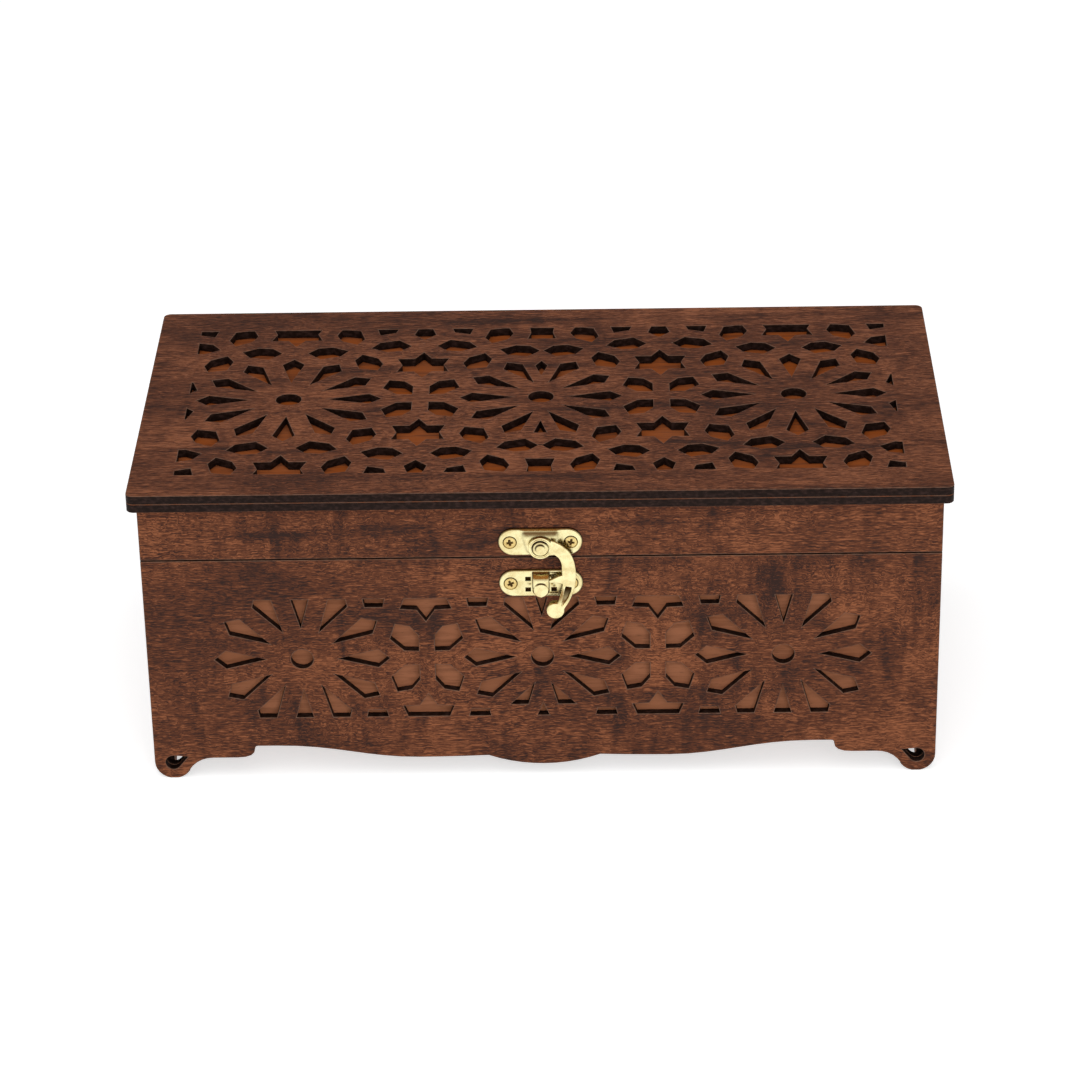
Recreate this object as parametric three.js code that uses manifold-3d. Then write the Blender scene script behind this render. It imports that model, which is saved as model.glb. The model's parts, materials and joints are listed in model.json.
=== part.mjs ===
// Serving box of laser-cut plywood with a pierced lid, pierced walls and a brass swing latch.
// Millimetres, +Z up, front towards -Y. The origin is on the table, under the middle of everything
// that the latch at the front and the hinges at the back reach round.

import * as THREE from 'three';
import { mergeVertices } from 'three/addons/utils/BufferGeometryUtils.js';
import Module from 'manifold-3d';

const wasm = await Module();
wasm.setup();

// Outside of the box
const LID_LENGTH = 272;
const LID_DEPTH = 142;
const LID_OVERHANG = 3.5;
const SIDE_OVERHANG = 3.05;
const LID_CORNER = 2.5;
const SEAM_HEIGHT = 84;
const SEAM_GAP = 0.5;
const RIM_HEIGHT = 19.6;
const GLUE_LINE = 0.1;

// Plywood sheets
const WALL_PLY = 3;
const LINING_PLY = 3;
const FLOOR_PLY = 3;
const DIVIDER_PLY = 3;
const RIM_PLY = 3;
const RIM_LINING_PLY = 3;
const BACKING_PLY = 3;
const FRET_PLY = 3;

// Inside of the box
const FLOOR_HEIGHT = 13;
const DIVIDER_DROP = 5.8;
const COLUMNS = 4;
const SLOT_PLAY = 0.15;

// Foot and skirt of a wall, measured from the wall's end
const FOOT_RADIUS = 6.4;
const FOOT_FLAT = 0.15;
const FLANK_START = { run: 11.6, height: 2.9 };
const FLANK_RUN = 8.5;
const FLANK_PULL = 3;
const LEDGE_RUN = 8.4;
const LEDGE_HEIGHT = 7.7;
const STEP_RUN = 6;
const STEP_CORNER = 1.1;
const ARCH_HEIGHT = 12.25;
const SCALLOP_HEIGHT = 7.2;
const SCALLOP_PULL = { arch: 0.42, dip: 0.37 };
const CUSP_HEIGHT = 7.65;
const BULGE_HEIGHT = 4.15;
const LONG_SKIRT = { arch: 6.4, dip: 23.5, bulge: 19 };
const SHORT_SKIRT = { arch: 2, dip: 5, bulge: 11 };
const EYE_RADIUS = 2.65;
const EYE_PLACE = { run: 6.3, height: 6.05 };
const EYE_TAIL = { run: 5.2, rise: 2.25 };

// Pierced pattern. The pitch is the distance between two rosettes. The petal, the hexagon and the
// star are drawn for the drawn pitch, and take the pitch of the panel that they are cut into.
const DRAWN_PITCH = 100;
const PETAL = { tip: 14.4, shoulder: 30.5, halfWidth: 4.2, end: 35.1 };
const PETALS = 12;
const HEXAGON = [
  [-14.55, 8.95],
  [-12.35, 15.9],
  [-6.6, 14.8],
  [-3.2, 10.4],
  [-3.2, 3.3],
  [-9, 3.5],
];
const STAR_SIDE_NOTCH = 7.9;
const STAR_POINTS = 6;
const SMALLEST_HOLE = 1.2;

// Pattern of the lid. The two halves meet in the middle rosette, whose centre lies past the middle
// line of each half by the fold.
const LID_PATTERN = {
  pitch: 90.65,
  fold: 3.95,
  rowScale: 1,
  eyelet: 4.4,
  starTip: 11.35,
  starNotch: 6.55,
  bridge: 0.8,
  openEnds: true,
};
const LID_FRET_END = 14.75;
const LID_FRET_FRONT = 15;
const LID_FRET_BACK = 15.3;

// Pattern of the front wall and the sides
const WALL_PATTERN = {
  pitch: 84.1,
  fold: 3.3,
  rowScale: 0.975,
  eyelet: 3.8,
  starTip: 11.8,
  starNotch: 7.25,
  bridge: 1,
  openEnds: false,
};
const WALL_FRET_END = 22;
const WALL_FRET_BOTTOM = 23.4;
const WALL_FRET_TOP = 15.1;
const SHORT_PETAL_RISE = 4.3;
const EDGE_HOLE = { wide: 7.2, narrow: 6, topDepth: 3.1, bottomDepth: 2.6 };

// Small shapes on the middle line of the fretwork, measured from the middle rosette
const MIDDLE_PETAL = { tip: 16.6, shoulder: 24.7, halfWidth: 2.1, end: 28.5 };
const MIDDLE_WEDGE = { tip: 18.1, halfWidth: 2.2, end: 27.4 };
const MIDDLE_WAIST = { wide: 4.9, waist: 3.8, inner: 46.7, narrow: 51.8, outer: 62 };
const WALL_WEDGE = { tip: 15.5, halfWidth: 3.24, end: 27.5 };
const WALL_TOOTH = { rise: 4.8, halfWidth: 2 };

// Brass fittings
const FITTING_PLATE = 0.8;
const SEAT_GAP = 0.2;
const LATCH_LENGTH = 28;
const LATCH_PLATE_HEIGHT = 10.1;
const LATCH_SCREW_PITCH = 20.2;
const LATCH_PLATE_RISE = 6.25;
const CATCH_PLATE_DROP = 9.2;
const PLATE_BEVEL = 0.35;
const BOSS_BASE = { width: 11.4, height: 9.3 };
const BOSS_TOP = { width: 8.2, height: 6 };
const BOSS_RISE = 1.1;
const HOOK_THICKNESS = 1.2;
const HOOK_GAP = 0.3;
const HOOK_PIVOT_DROP = 1;
const EYE_OF_HOOK = 4;
const KNOB_RADIUS = 3;
const KNOB_THICKNESS = 2.4;
const KNOB_PLACE = { x: 4.7, y: -22.5 };
const KNOB_NECK = { right: 2.55, left: 1.8 };
const HOOK_BACK_EDGE = [
  [3.8, 2.8], [6.8, 1], [9.45, -1.75], [11.05, -5.4],
  [11.7, -9.6], [11.45, -13.7], [10.45, -16.2], [8.7, -18.9],
];
const HOOK_TAIL_EDGE = [[5.1, -19.3], [6, -18.1], [6.95, -16], [7.2, -14.4], [6.3, -13.4]];
const HOOK_THROAT_EDGE = [[6.45, -9.95], [7.1, -7.9], [6.85, -5.1], [5.5, -3.05], [3.9, -2.55]];
const FLARE = 2.2;
const FLARE_START = -14.5;
const FLARE_END = -21;
const PRONG_TOP = 12.5;
const PRONG_TIP = { x: 0.8, depth: 0.9 };
const PRONG_ROOT = 5.6;
const TONGUE_WIDTH = 5.8;
const TONGUE_TOP = 4.4;
const TONGUE_BOTTOM = -3.8;
const NECK_HEIGHT = 1.3;
const TONGUE_GAP = 0.4;
const WINDOW = { width: 1.9, height: 1.6, inset: 0.45, upper: 1.7, lower: -2.3 };
const RIVET_SHANK = 1.2;
const RIVET_HEAD = 2.6;
const RIVET_RISE = 0.7;
const RIVET_CROWN = 0.52;
const RIVET_TAIL = 0.2;
const BORE_PLAY = 0.2;

// Screws
const SCREW_HEAD = 2;
const SCREW_RISE = 0.75;
const SCREW_CROWN = 0.3;
const SCREW_SHANK = 0.9;
const SCREW_LENGTH = 5.4;
const SCREW_POINT = 1.4;
const PILOT_PLAY = 0.15;
const PILOT_EXTRA = 0.4;
const CROSS_WIDTH = 0.5;
const CROSS_LENGTH = 2;
const CROSS_DEPTH = 0.6;

// Hinges at the back
const HINGE_WIDTH = 25;
const HINGE_REACH = 12;
const HINGE_INSET = 42;
const HINGE_CORNER = 2;
const KNUCKLES = 5;
const KNUCKLE_GAP = 0.3;
const BARREL_RADIUS = 1.9;
const PIN_RADIUS = 0.9;
const PIN_PLAY = 0.2;
const PIN_END = 0.5;
const HINGE_SCREW_PITCH = 15;
const HINGE_SCREW_DROP = 7.4;

// How finely round and curved edges are stepped
const SIDES = { eyelet: 20, eye: 24, knob: 20, bore: 12, screw: 10, pilot: 8, rivet: 16, pin: 10 };
const SKIRT_STEPS = { foot: 6, flank: 5, ledge: 4, corner: 3, scallop: 8, cusp: 3, bulge: 5 };
const HOOK_STEPS = { back: 20, tail: 12, prong: 3, throat: 12 };
const FOOT_EYE_STEPS = 10;
const ARC_STEPS = { sheet: 6, plate: 5, tongue: 10, barrel: 8, leaf: 2 };

// Cutting and joining: how far a cutting shape reaches past what it cuts, and what counts as equal
const CUT_PLAY = 1;
const SAME_POINT = 1e-3;
const MERGE_DISTANCE = 1e-4;

// What follows from the sizes above
const ROW = Math.sqrt(3) / 2;
const BOX_LENGTH = LID_LENGTH - 2 * SIDE_OVERHANG;
const BOX_DEPTH = LID_DEPTH - 2 * LID_OVERHANG;
const RIM_BASE = SEAM_HEIGHT + SEAM_GAP;
const RIM_TOP = RIM_BASE + RIM_HEIGHT;
const BACKING_BASE = RIM_TOP + GLUE_LINE;
const FRET_BASE = BACKING_BASE + BACKING_PLY + GLUE_LINE;
const FLOOR_TOP = FLOOR_HEIGHT + FLOOR_PLY + GLUE_LINE;
const DIVIDER_BASE = FLOOR_TOP + GLUE_LINE;
const DIVIDER_HEIGHT = SEAM_HEIGHT - DIVIDER_DROP - DIVIDER_BASE;
const SIDE_LENGTH = BOX_DEPTH - 2 * (WALL_PLY + GLUE_LINE);
const LINING_LENGTH = BOX_LENGTH - 2 * (WALL_PLY + GLUE_LINE);
const LINING_DEPTH = SIDE_LENGTH - 2 * (LINING_PLY + GLUE_LINE);
const WELL_LENGTH = LINING_LENGTH - 2 * (LINING_PLY + GLUE_LINE);
const RIM_SIDE = BOX_DEPTH - 2 * (RIM_PLY + GLUE_LINE);
const RIM_LINING_LENGTH = BOX_LENGTH - 2 * (RIM_PLY + GLUE_LINE);
const RIM_LINING_SIDE = RIM_SIDE - 2 * (RIM_LINING_PLY + GLUE_LINE);
const LATCH_PLATE_Z = SEAM_HEIGHT + LATCH_PLATE_RISE;
const HOOK_PIVOT_Z = LATCH_PLATE_Z - HOOK_PIVOT_DROP;
const CATCH_PLATE_Z = SEAM_HEIGHT - CATCH_PLATE_DROP;
const PLATE_FACE = SEAT_GAP + FITTING_PLATE;
const BOSS_FACE = PLATE_FACE + BOSS_RISE;
const HOOK_BACK = BOSS_FACE + HOOK_GAP;
const HOOK_FACE = HOOK_BACK + HOOK_THICKNESS;
const TONGUE_BACK = HOOK_FACE + TONGUE_GAP;
const TONGUE_FACE = TONGUE_BACK + FITTING_PLATE;
const AXIS_OUT = SEAT_GAP + BARREL_RADIUS;
const LEAF_START = BARREL_RADIUS + 2 * KNUCKLE_GAP;
const PIN_LENGTH = HINGE_WIDTH + 2 * PIN_END;
const HINGE_AXIS_Z = SEAM_HEIGHT + SEAM_GAP / 2;
const SCREW_DEPTH = SCREW_LENGTH - PLATE_FACE - GLUE_LINE;
const FRONT_REACH = BOX_DEPTH / 2 + Math.max(TONGUE_FACE, HOOK_FACE + FLARE, LID_OVERHANG);
const BACK_REACH = BOX_DEPTH / 2 + Math.max(AXIS_OUT + BARREL_RADIUS, LID_OVERHANG);
const CENTRING = (FRONT_REACH - BACK_REACH) / 2;

// Materials, from the colours of the photograph
const stained = new THREE.MeshStandardMaterial({ color: 0x5a3a2c, roughness: 0.6, metalness: 0 });
const lining = new THREE.MeshStandardMaterial({ color: 0x875539, roughness: 0.65, metalness: 0 });
const backing = new THREE.MeshStandardMaterial({ color: 0x7a421f, roughness: 0.6, metalness: 0 });
const brass = new THREE.MeshStandardMaterial({ color: 0xe8cf87, roughness: 0.25, metalness: 1 });
const steel = new THREE.MeshStandardMaterial({ color: 0xd8c58e, roughness: 0.3, metalness: 1 });

// Joining and cutting

function toSolid(geometry) {
  const bare = geometry.clone();
  bare.deleteAttribute('normal');
  bare.deleteAttribute('uv');
  const merged = mergeVertices(bare, MERGE_DISTANCE);
  const mesh = new wasm.Mesh({
    numProp: 3,
    vertProperties: Float32Array.from(merged.attributes.position.array),
    triVerts: Uint32Array.from(merged.index.array),
  });
  return new wasm.Manifold(mesh);
}

function toGeometry(solid) {
  const mesh = solid.getMesh();
  const geometry = new THREE.BufferGeometry();
  geometry.setAttribute('position', new THREE.BufferAttribute(mesh.vertProperties, 3));
  geometry.setIndex(new THREE.BufferAttribute(mesh.triVerts, 1));
  geometry.computeVertexNormals();
  return geometry;
}

function join(...geometries) {
  const solids = geometries.map(toSolid);
  return toGeometry(solids.reduce((whole, next) => whole.add(next)));
}

function cut(geometry, ...tools) {
  const solids = tools.map(toSolid);
  return toGeometry(solids.reduce((whole, next) => whole.subtract(next), toSolid(geometry)));
}

function common(first, second) {
  return toGeometry(toSolid(first).intersect(toSolid(second)));
}

// Flat pieces are drawn in X and Y, and their thickness runs along Z.

function sheet(shape, thickness, base = 0, curveSegments = ARC_STEPS.sheet) {
  const geometry = new THREE.ExtrudeGeometry(shape, {
    depth: thickness,
    bevelEnabled: false,
    curveSegments,
  });
  return geometry.translate(0, 0, base);
}

function polygon(points) {
  return new THREE.Shape(points.map(([x, y]) => new THREE.Vector2(x, y)));
}

function rectangle(left, right, bottom, top) {
  return polygon([[left, bottom], [right, bottom], [right, top], [left, top]]);
}

function roundedRectangle(width, height, radius) {
  const x = width / 2 - radius;
  const y = height / 2 - radius;
  const shape = new THREE.Shape();
  shape.absarc(x, y, radius, 0, Math.PI / 2);
  shape.absarc(-x, y, radius, Math.PI / 2, Math.PI);
  shape.absarc(-x, -y, radius, Math.PI, 1.5 * Math.PI);
  shape.absarc(x, -y, radius, 1.5 * Math.PI, 2 * Math.PI);
  return shape;
}

function disc(radius, thickness, x, y, base, sides) {
  const geometry = new THREE.CylinderGeometry(radius, radius, thickness, sides);
  geometry.rotateX(Math.PI / 2);
  return geometry.translate(x, y, base + thickness / 2);
}

function ring(radius, sides) {
  const points = [];
  for (let side = 0; side < sides; side += 1) {
    const angle = (2 * Math.PI * side) / sides;
    points.push([radius * Math.cos(angle), radius * Math.sin(angle)]);
  }
  return points;
}

// Pierced pattern

function turned(points, angle) {
  const c = Math.cos(angle);
  const s = Math.sin(angle);
  return points.map(([x, y]) => [x * c - y * s, x * s + y * c]);
}

function placed(points, scale, x, y) {
  return points.map(([u, v]) => [u * scale + x, v * scale + y]);
}

function mirrored(points) {
  return points.map(([x, y]) => [-x, y]).reverse();
}

function petal() {
  return [
    [PETAL.tip, 0],
    [PETAL.shoulder, -PETAL.halfWidth],
    [PETAL.end, 0],
    [PETAL.shoulder, PETAL.halfWidth],
  ];
}

function star(pattern) {
  const points = [];
  for (let corner = 0; corner < 2 * STAR_POINTS; corner += 1) {
    const notch = corner % STAR_POINTS ? pattern.starNotch : STAR_SIDE_NOTCH;
    const radius = corner % 2 ? pattern.starTip : notch;
    const angle = (corner * Math.PI) / STAR_POINTS;
    points.push([radius * Math.cos(angle), radius * Math.sin(angle)]);
  }
  return points;
}

function hexagonsBetween(angle) {
  const hexagons = [];
  for (const across of [1, -1]) {
    for (const along of [1, -1]) {
      const points = HEXAGON.map(([x, y]) => [x * across, y * along]);
      hexagons.push(turned(points, angle));
    }
  }
  return hexagons;
}

function rosette(pattern, x, y, withEyelet) {
  const scale = pattern.pitch / DRAWN_PITCH;
  const holes = withEyelet ? [placed(ring(pattern.eyelet, SIDES.eyelet), 1, x, y)] : [];
  for (let turn = 0; turn < PETALS; turn += 1) {
    holes.push(placed(turned(petal(), (2 * Math.PI * turn) / PETALS), scale, x, y));
  }
  return holes;
}

// What lies between a rosette and its neighbours: the hexagons on the way to three of them, and the
// two stars on its right.
function rosetteLinks(pattern, x, y) {
  const holes = [];
  const { pitch } = pattern;
  const scale = pitch / DRAWN_PITCH;
  for (let third = 0; third < 3; third += 1) {
    const angle = (third * Math.PI) / 3;
    const middleX = x + (pitch / 2) * Math.cos(angle);
    const middleY = y + (pitch / 2) * Math.sin(angle);
    for (const hexagon of hexagonsBetween(angle)) {
      holes.push(placed(hexagon, scale, middleX, middleY));
    }
  }
  for (const side of [1, -1]) {
    const starY = y + (side * pitch) / (2 * Math.sqrt(3));
    holes.push(placed(star(pattern), scale, x + pitch / 2, starY));
  }
  return holes;
}

// As many rosettes as the window needs. A pattern that has no open ends stops at its outermost ones.
function rosetteField(pattern, x, window, folded) {
  const holes = [];
  const links = [];
  const rows = Math.ceil(window.top / (pattern.pitch * ROW * pattern.rowScale));
  const columns = Math.ceil(window.half / pattern.pitch) + 1;
  for (let row = -rows; row <= rows; row += 1) {
    for (let column = -columns; column <= columns; column += 1) {
      const isMiddle = folded && row === 0 && column === 1;
      const place = x + pattern.pitch * (column + row / 2);
      const height = pattern.pitch * ROW * row;
      holes.push(...rosette(pattern, place, height, !isMiddle));
      links.push(...rosetteLinks(pattern, place, height));
    }
  }
  const kept = links.filter((hole) => pattern.openEnds || reach(hole).left > x);
  return [...holes, ...kept].map((hole) => hole.map(([u, v]) => [u, v * pattern.rowScale]));
}

// Keeps the part of a hole on one side of a straight line, where keep says how far a point is inside.
function trimmed(points, keep) {
  const kept = [];
  points.forEach((point, index) => {
    const before = points[(index + points.length - 1) % points.length];
    const inside = keep(point);
    const insideBefore = keep(before);
    if (inside > 0 !== insideBefore > 0) {
      const share = insideBefore / (insideBefore - inside);
      kept.push([before[0] + (point[0] - before[0]) * share, before[1] + (point[1] - before[1]) * share]);
    }
    if (inside > 0) {
      kept.push(point);
    }
  });
  return kept;
}

function area(points) {
  return Math.abs(THREE.ShapeUtils.area(points.map(([x, y]) => ({ x, y }))));
}

function reach(points) {
  const xs = points.map(([x]) => x);
  const ys = points.map(([, y]) => y);
  return {
    left: Math.min(...xs),
    right: Math.max(...xs),
    low: Math.min(...ys),
    high: Math.max(...ys),
  };
}

function largeEnough(holes) {
  return holes.filter((hole) => hole.length > 2 && area(hole) > SMALLEST_HOLE ** 2);
}

function trimRows(holes, window) {
  return largeEnough(holes.map((hole) => {
    const above = trimmed(hole, ([, y]) => y - window.bottom);
    return trimmed(above, ([, y]) => window.top - y);
  }));
}

// The left half of a folded pattern, and its mirror image on the right.
function foldedFret(pattern, window) {
  const centre = pattern.fold - pattern.pitch;
  const half = trimRows(rosetteField(pattern, centre, window, true), window)
    .filter((hole) => reach(hole).right < pattern.bridge)
    .map((hole) => trimmed(hole, ([x]) => -pattern.bridge - x));
  const left = pattern.openEnds
    ? half.map((hole) => trimmed(hole, ([x]) => x + window.half))
    : half.filter((hole) => reach(hole).left > -window.half);
  const kept = largeEnough(left);
  return [...kept, ...kept.map(mirrored)];
}

function lidFretHoles() {
  const window = {
    half: LID_LENGTH / 2 - LID_FRET_END,
    bottom: LID_FRET_FRONT - LID_DEPTH / 2,
    top: LID_DEPTH / 2 - LID_FRET_BACK,
  };
  const petalPoints = [
    [0, MIDDLE_PETAL.tip],
    [MIDDLE_PETAL.halfWidth, MIDDLE_PETAL.shoulder],
    [0, MIDDLE_PETAL.end],
    [-MIDDLE_PETAL.halfWidth, MIDDLE_PETAL.shoulder],
  ];
  const wedgePoints = [
    [0, -MIDDLE_WEDGE.tip],
    [-MIDDLE_WEDGE.halfWidth, -MIDDLE_WEDGE.end],
    [MIDDLE_WEDGE.halfWidth, -MIDDLE_WEDGE.end],
  ];
  const waist = (side) => [
    [-MIDDLE_WAIST.wide, side * MIDDLE_WAIST.inner],
    [MIDDLE_WAIST.wide, side * MIDDLE_WAIST.inner],
    [MIDDLE_WAIST.waist, side * MIDDLE_WAIST.narrow],
    [MIDDLE_WAIST.wide, side * MIDDLE_WAIST.outer],
    [-MIDDLE_WAIST.wide, side * MIDDLE_WAIST.outer],
    [-MIDDLE_WAIST.waist, side * MIDDLE_WAIST.narrow],
  ];
  const eyelet = ring(LID_PATTERN.eyelet, SIDES.eyelet);
  const middle = [eyelet, petalPoints, wedgePoints, waist(1), waist(-1)];
  return [...foldedFret(LID_PATTERN, window), ...trimRows(middle, window)];
}

function wallWindow(length, height) {
  const bottom = WALL_FRET_BOTTOM;
  const top = height - WALL_FRET_TOP;
  const middle = (bottom + top) / 2;
  return { half: length / 2 - WALL_FRET_END, bottom: bottom - middle, top: top - middle, middle };
}

// What the window leaves of a hexagon at its edge, opened to a trapezium.
function edgeHole(hole, window) {
  const { left, right, low } = reach(hole);
  const centre = (left + right) / 2;
  const isTop = low > 0;
  const edge = isTop ? window.top : window.bottom;
  const inner = isTop ? edge - EDGE_HOLE.topDepth : edge + EDGE_HOLE.bottomDepth;
  return [
    [centre - EDGE_HOLE.wide / 2, edge],
    [centre + EDGE_HOLE.wide / 2, edge],
    [centre + EDGE_HOLE.narrow / 2, inner],
    [centre - EDGE_HOLE.narrow / 2, inner],
  ];
}

function longWallFretHoles(length, height) {
  const window = wallWindow(length, height);
  const quarter = (WALL_PATTERN.pitch - WALL_PATTERN.fold) / 4;
  const isShort = (hole) => reach(hole).right < quarter && reach(hole).left > -quarter;
  const petalEnd = window.bottom + SHORT_PETAL_RISE;
  const field = foldedFret(WALL_PATTERN, window).map((hole) => {
    return isShort(hole) ? trimmed(hole, ([, y]) => y - petalEnd) : hole;
  }).map((hole) => {
    const { low, high } = reach(hole);
    return high - low < EDGE_HOLE.bottomDepth ? edgeHole(hole, window) : hole;
  });
  const wedge = [
    [0, WALL_WEDGE.tip],
    [WALL_WEDGE.halfWidth, WALL_WEDGE.end],
    [-WALL_WEDGE.halfWidth, WALL_WEDGE.end],
  ];
  const tooth = [
    [0, window.bottom + WALL_TOOTH.rise],
    [-WALL_TOOTH.halfWidth, window.bottom],
    [WALL_TOOTH.halfWidth, window.bottom],
  ];
  const eyelet = ring(WALL_PATTERN.eyelet, SIDES.eyelet);
  const holes = [...largeEnough(field), ...trimRows([eyelet, wedge, tooth], window)];
  return holes.map((hole) => placed(hole, 1, 0, window.middle));
}

function shortWallFretHoles(length, height) {
  const window = wallWindow(length, height);
  const field = rosetteField({ ...WALL_PATTERN, openEnds: true }, 0, window, false);
  return trimRows(field, window)
    .filter((hole) => reach(hole).left > -window.half && reach(hole).right < window.half)
    .map((hole) => placed(hole, 1, 0, window.middle));
}

// Walls

// Lower edge of a wall from its end to its middle. The height is counted from the table, and the run
// from the end of the wall.
function skirtHalf(half, skirt, side) {
  const lobe = FOOT_RADIUS - FOOT_FLAT;
  const flankEnd = FLANK_START.run + FLANK_RUN;
  const ledgeEnd = flankEnd + LEDGE_RUN;
  const stepEnd = ledgeEnd + STEP_RUN;
  const archStart = stepEnd + STEP_CORNER;
  const archEnd = archStart + skirt.arch;
  const cusp = half - skirt.bulge;
  const low = cusp - skirt.dip;
  const fall = low - archEnd;
  const points = [];
  const arc = (from, to) => {
    for (let step = 0; step <= SKIRT_STEPS.foot; step += 1) {
      const angle = from + ((to - from) * step) / SKIRT_STEPS.foot;
      points.push([FOOT_RADIUS - FOOT_RADIUS * Math.cos(angle), lobe - FOOT_RADIUS * Math.sin(angle)]);
    }
  };
  const bend = (curve, steps) => {
    for (const point of curve.getPoints(steps)) {
      points.push([point.x, point.y]);
    }
  };
  const v = (run, height) => new THREE.Vector2(run, height);
  const flatAngle = Math.asin(lobe / FOOT_RADIUS);
  const flankAngle = Math.PI - Math.asin((lobe - FLANK_START.height) / FOOT_RADIUS);
  arc(0, flatAngle);
  arc(Math.PI - flatAngle, flankAngle);
  bend(new THREE.QuadraticBezierCurve(
    v(FLANK_START.run, FLANK_START.height),
    v(FLANK_START.run + FLANK_PULL, LEDGE_HEIGHT),
    v(flankEnd, LEDGE_HEIGHT),
  ), SKIRT_STEPS.flank);
  bend(new THREE.QuadraticBezierCurve(
    v(ledgeEnd, LEDGE_HEIGHT),
    v(stepEnd, LEDGE_HEIGHT),
    v(stepEnd, ARCH_HEIGHT - STEP_CORNER),
  ), SKIRT_STEPS.ledge);
  bend(new THREE.QuadraticBezierCurve(
    v(stepEnd, ARCH_HEIGHT - STEP_CORNER),
    v(stepEnd, ARCH_HEIGHT),
    v(archStart, ARCH_HEIGHT),
  ), SKIRT_STEPS.corner);
  bend(new THREE.CubicBezierCurve(
    v(archEnd, ARCH_HEIGHT),
    v(archEnd + SCALLOP_PULL.arch * fall, ARCH_HEIGHT),
    v(low - SCALLOP_PULL.dip * fall, SCALLOP_HEIGHT),
    v(low, SCALLOP_HEIGHT),
  ), SKIRT_STEPS.scallop);
  bend(new THREE.QuadraticBezierCurve(
    v(low, SCALLOP_HEIGHT),
    v(low + skirt.dip / 2, SCALLOP_HEIGHT),
    v(cusp, CUSP_HEIGHT),
  ), SKIRT_STEPS.cusp);
  const sagitta = CUSP_HEIGHT - BULGE_HEIGHT;
  const bulgeRadius = (skirt.bulge ** 2 + sagitta ** 2) / (2 * sagitta);
  for (let step = 1; step <= SKIRT_STEPS.bulge; step += 1) {
    const offset = skirt.bulge * (1 - step / SKIRT_STEPS.bulge);
    const height = BULGE_HEIGHT + bulgeRadius - Math.sqrt(bulgeRadius ** 2 - offset ** 2);
    points.push([half - offset, height]);
  }
  return points.map(([run, height]) => [side * (half - run), height]);
}

function withoutRepeats(points) {
  return points.filter(([x, y], index) => {
    const [lastX, lastY] = points[(index + points.length - 1) % points.length];
    return Math.hypot(x - lastX, y - lastY) > SAME_POINT;
  });
}

function wallOutline(length, height, skirt) {
  const half = length / 2;
  const right = skirtHalf(half, skirt, 1);
  const left = skirtHalf(half, skirt, -1);
  return [[half, height], [-half, height], ...left, ...right.reverse()];
}

function footEye(half, side) {
  const centreX = side * (half - EYE_PLACE.run);
  const tail = Math.atan2(EYE_TAIL.rise, -side * EYE_TAIL.run);
  const spread = Math.acos(EYE_RADIUS / Math.hypot(EYE_TAIL.run, EYE_TAIL.rise));
  const points = [];
  for (let step = 0; step <= FOOT_EYE_STEPS; step += 1) {
    const angle = tail + spread + (2 * (Math.PI - spread) * step) / FOOT_EYE_STEPS;
    const rise = EYE_RADIUS * Math.sin(angle);
    points.push([centreX + EYE_RADIUS * Math.cos(angle), EYE_PLACE.height + rise]);
  }
  points.push([centreX - side * EYE_TAIL.run, EYE_PLACE.height + EYE_TAIL.rise]);
  return points;
}

// A sheet with holes cut right through it.
function piercedSheet(shape, thickness, holes) {
  const depth = thickness + 2 * CUT_PLAY;
  const tools = holes.map((hole) => sheet(polygon(withoutRepeats(hole)), depth, -CUT_PLAY));
  return cut(sheet(shape, thickness), ...tools);
}

function wallGeometry(length, skirt, fretHoles) {
  const shape = polygon(withoutRepeats(wallOutline(length, SEAM_HEIGHT, skirt)));
  return piercedSheet(shape, WALL_PLY, [footEye(length / 2, 1), footEye(length / 2, -1), ...fretHoles]);
}

// A lining has the feet and the skirt of its wall, and stops short of the sheets at its ends.
function liningGeometry(length, wallLength, skirt) {
  const wall = wallOutline(wallLength, SEAM_HEIGHT, skirt);
  const points = trimmed(trimmed(wall, ([x]) => x + length / 2), ([x]) => length / 2 - x);
  const eyes = [footEye(wallLength / 2, 1), footEye(wallLength / 2, -1)];
  return piercedSheet(polygon(withoutRepeats(points)), LINING_PLY, eyes);
}

// Screws and the holes that they go into

function lathed(profile, sides) {
  const geometry = new THREE.LatheGeometry(profile.map(([x, y]) => new THREE.Vector2(x, y)), sides);
  return geometry.rotateX(Math.PI / 2);
}

function screwGeometry() {
  const profile = [
    [0, -SCREW_LENGTH],
    [SCREW_SHANK, SCREW_POINT - SCREW_LENGTH],
    [SCREW_SHANK, 0],
    [SCREW_HEAD, 0],
    [SCREW_HEAD, SCREW_RISE - SCREW_CROWN],
    [SCREW_HEAD - SCREW_CROWN, SCREW_RISE],
    [0, SCREW_RISE],
  ];
  const slot = new THREE.BoxGeometry(CROSS_LENGTH, CROSS_WIDTH, 2 * CROSS_DEPTH);
  slot.translate(0, 0, SCREW_RISE);
  const crossSlot = slot.clone().rotateZ(Math.PI / 2);
  return cut(lathed(profile, SIDES.screw), slot, crossSlot);
}

function pilot(x, y, depth) {
  return disc(SCREW_SHANK + PILOT_PLAY, depth + CUT_PLAY, x, y, -depth, SIDES.pilot);
}

function screwClearance(x, y) {
  return disc(SCREW_SHANK + PILOT_PLAY, 2 * PLATE_FACE, x, y, 0, SIDES.pilot);
}

function drilledSheet(geometry, thickness, depth, places) {
  const tools = places.map(([x, y]) => pilot(x, y, depth).translate(0, 0, thickness));
  return cut(geometry, ...tools);
}

// Latch. Its pieces are drawn as seen from the front: X to the right, Y up, Z out of the wall.

function stadium(length, height) {
  return roundedRectangle(length, height, height / 2 - SAME_POINT);
}

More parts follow.
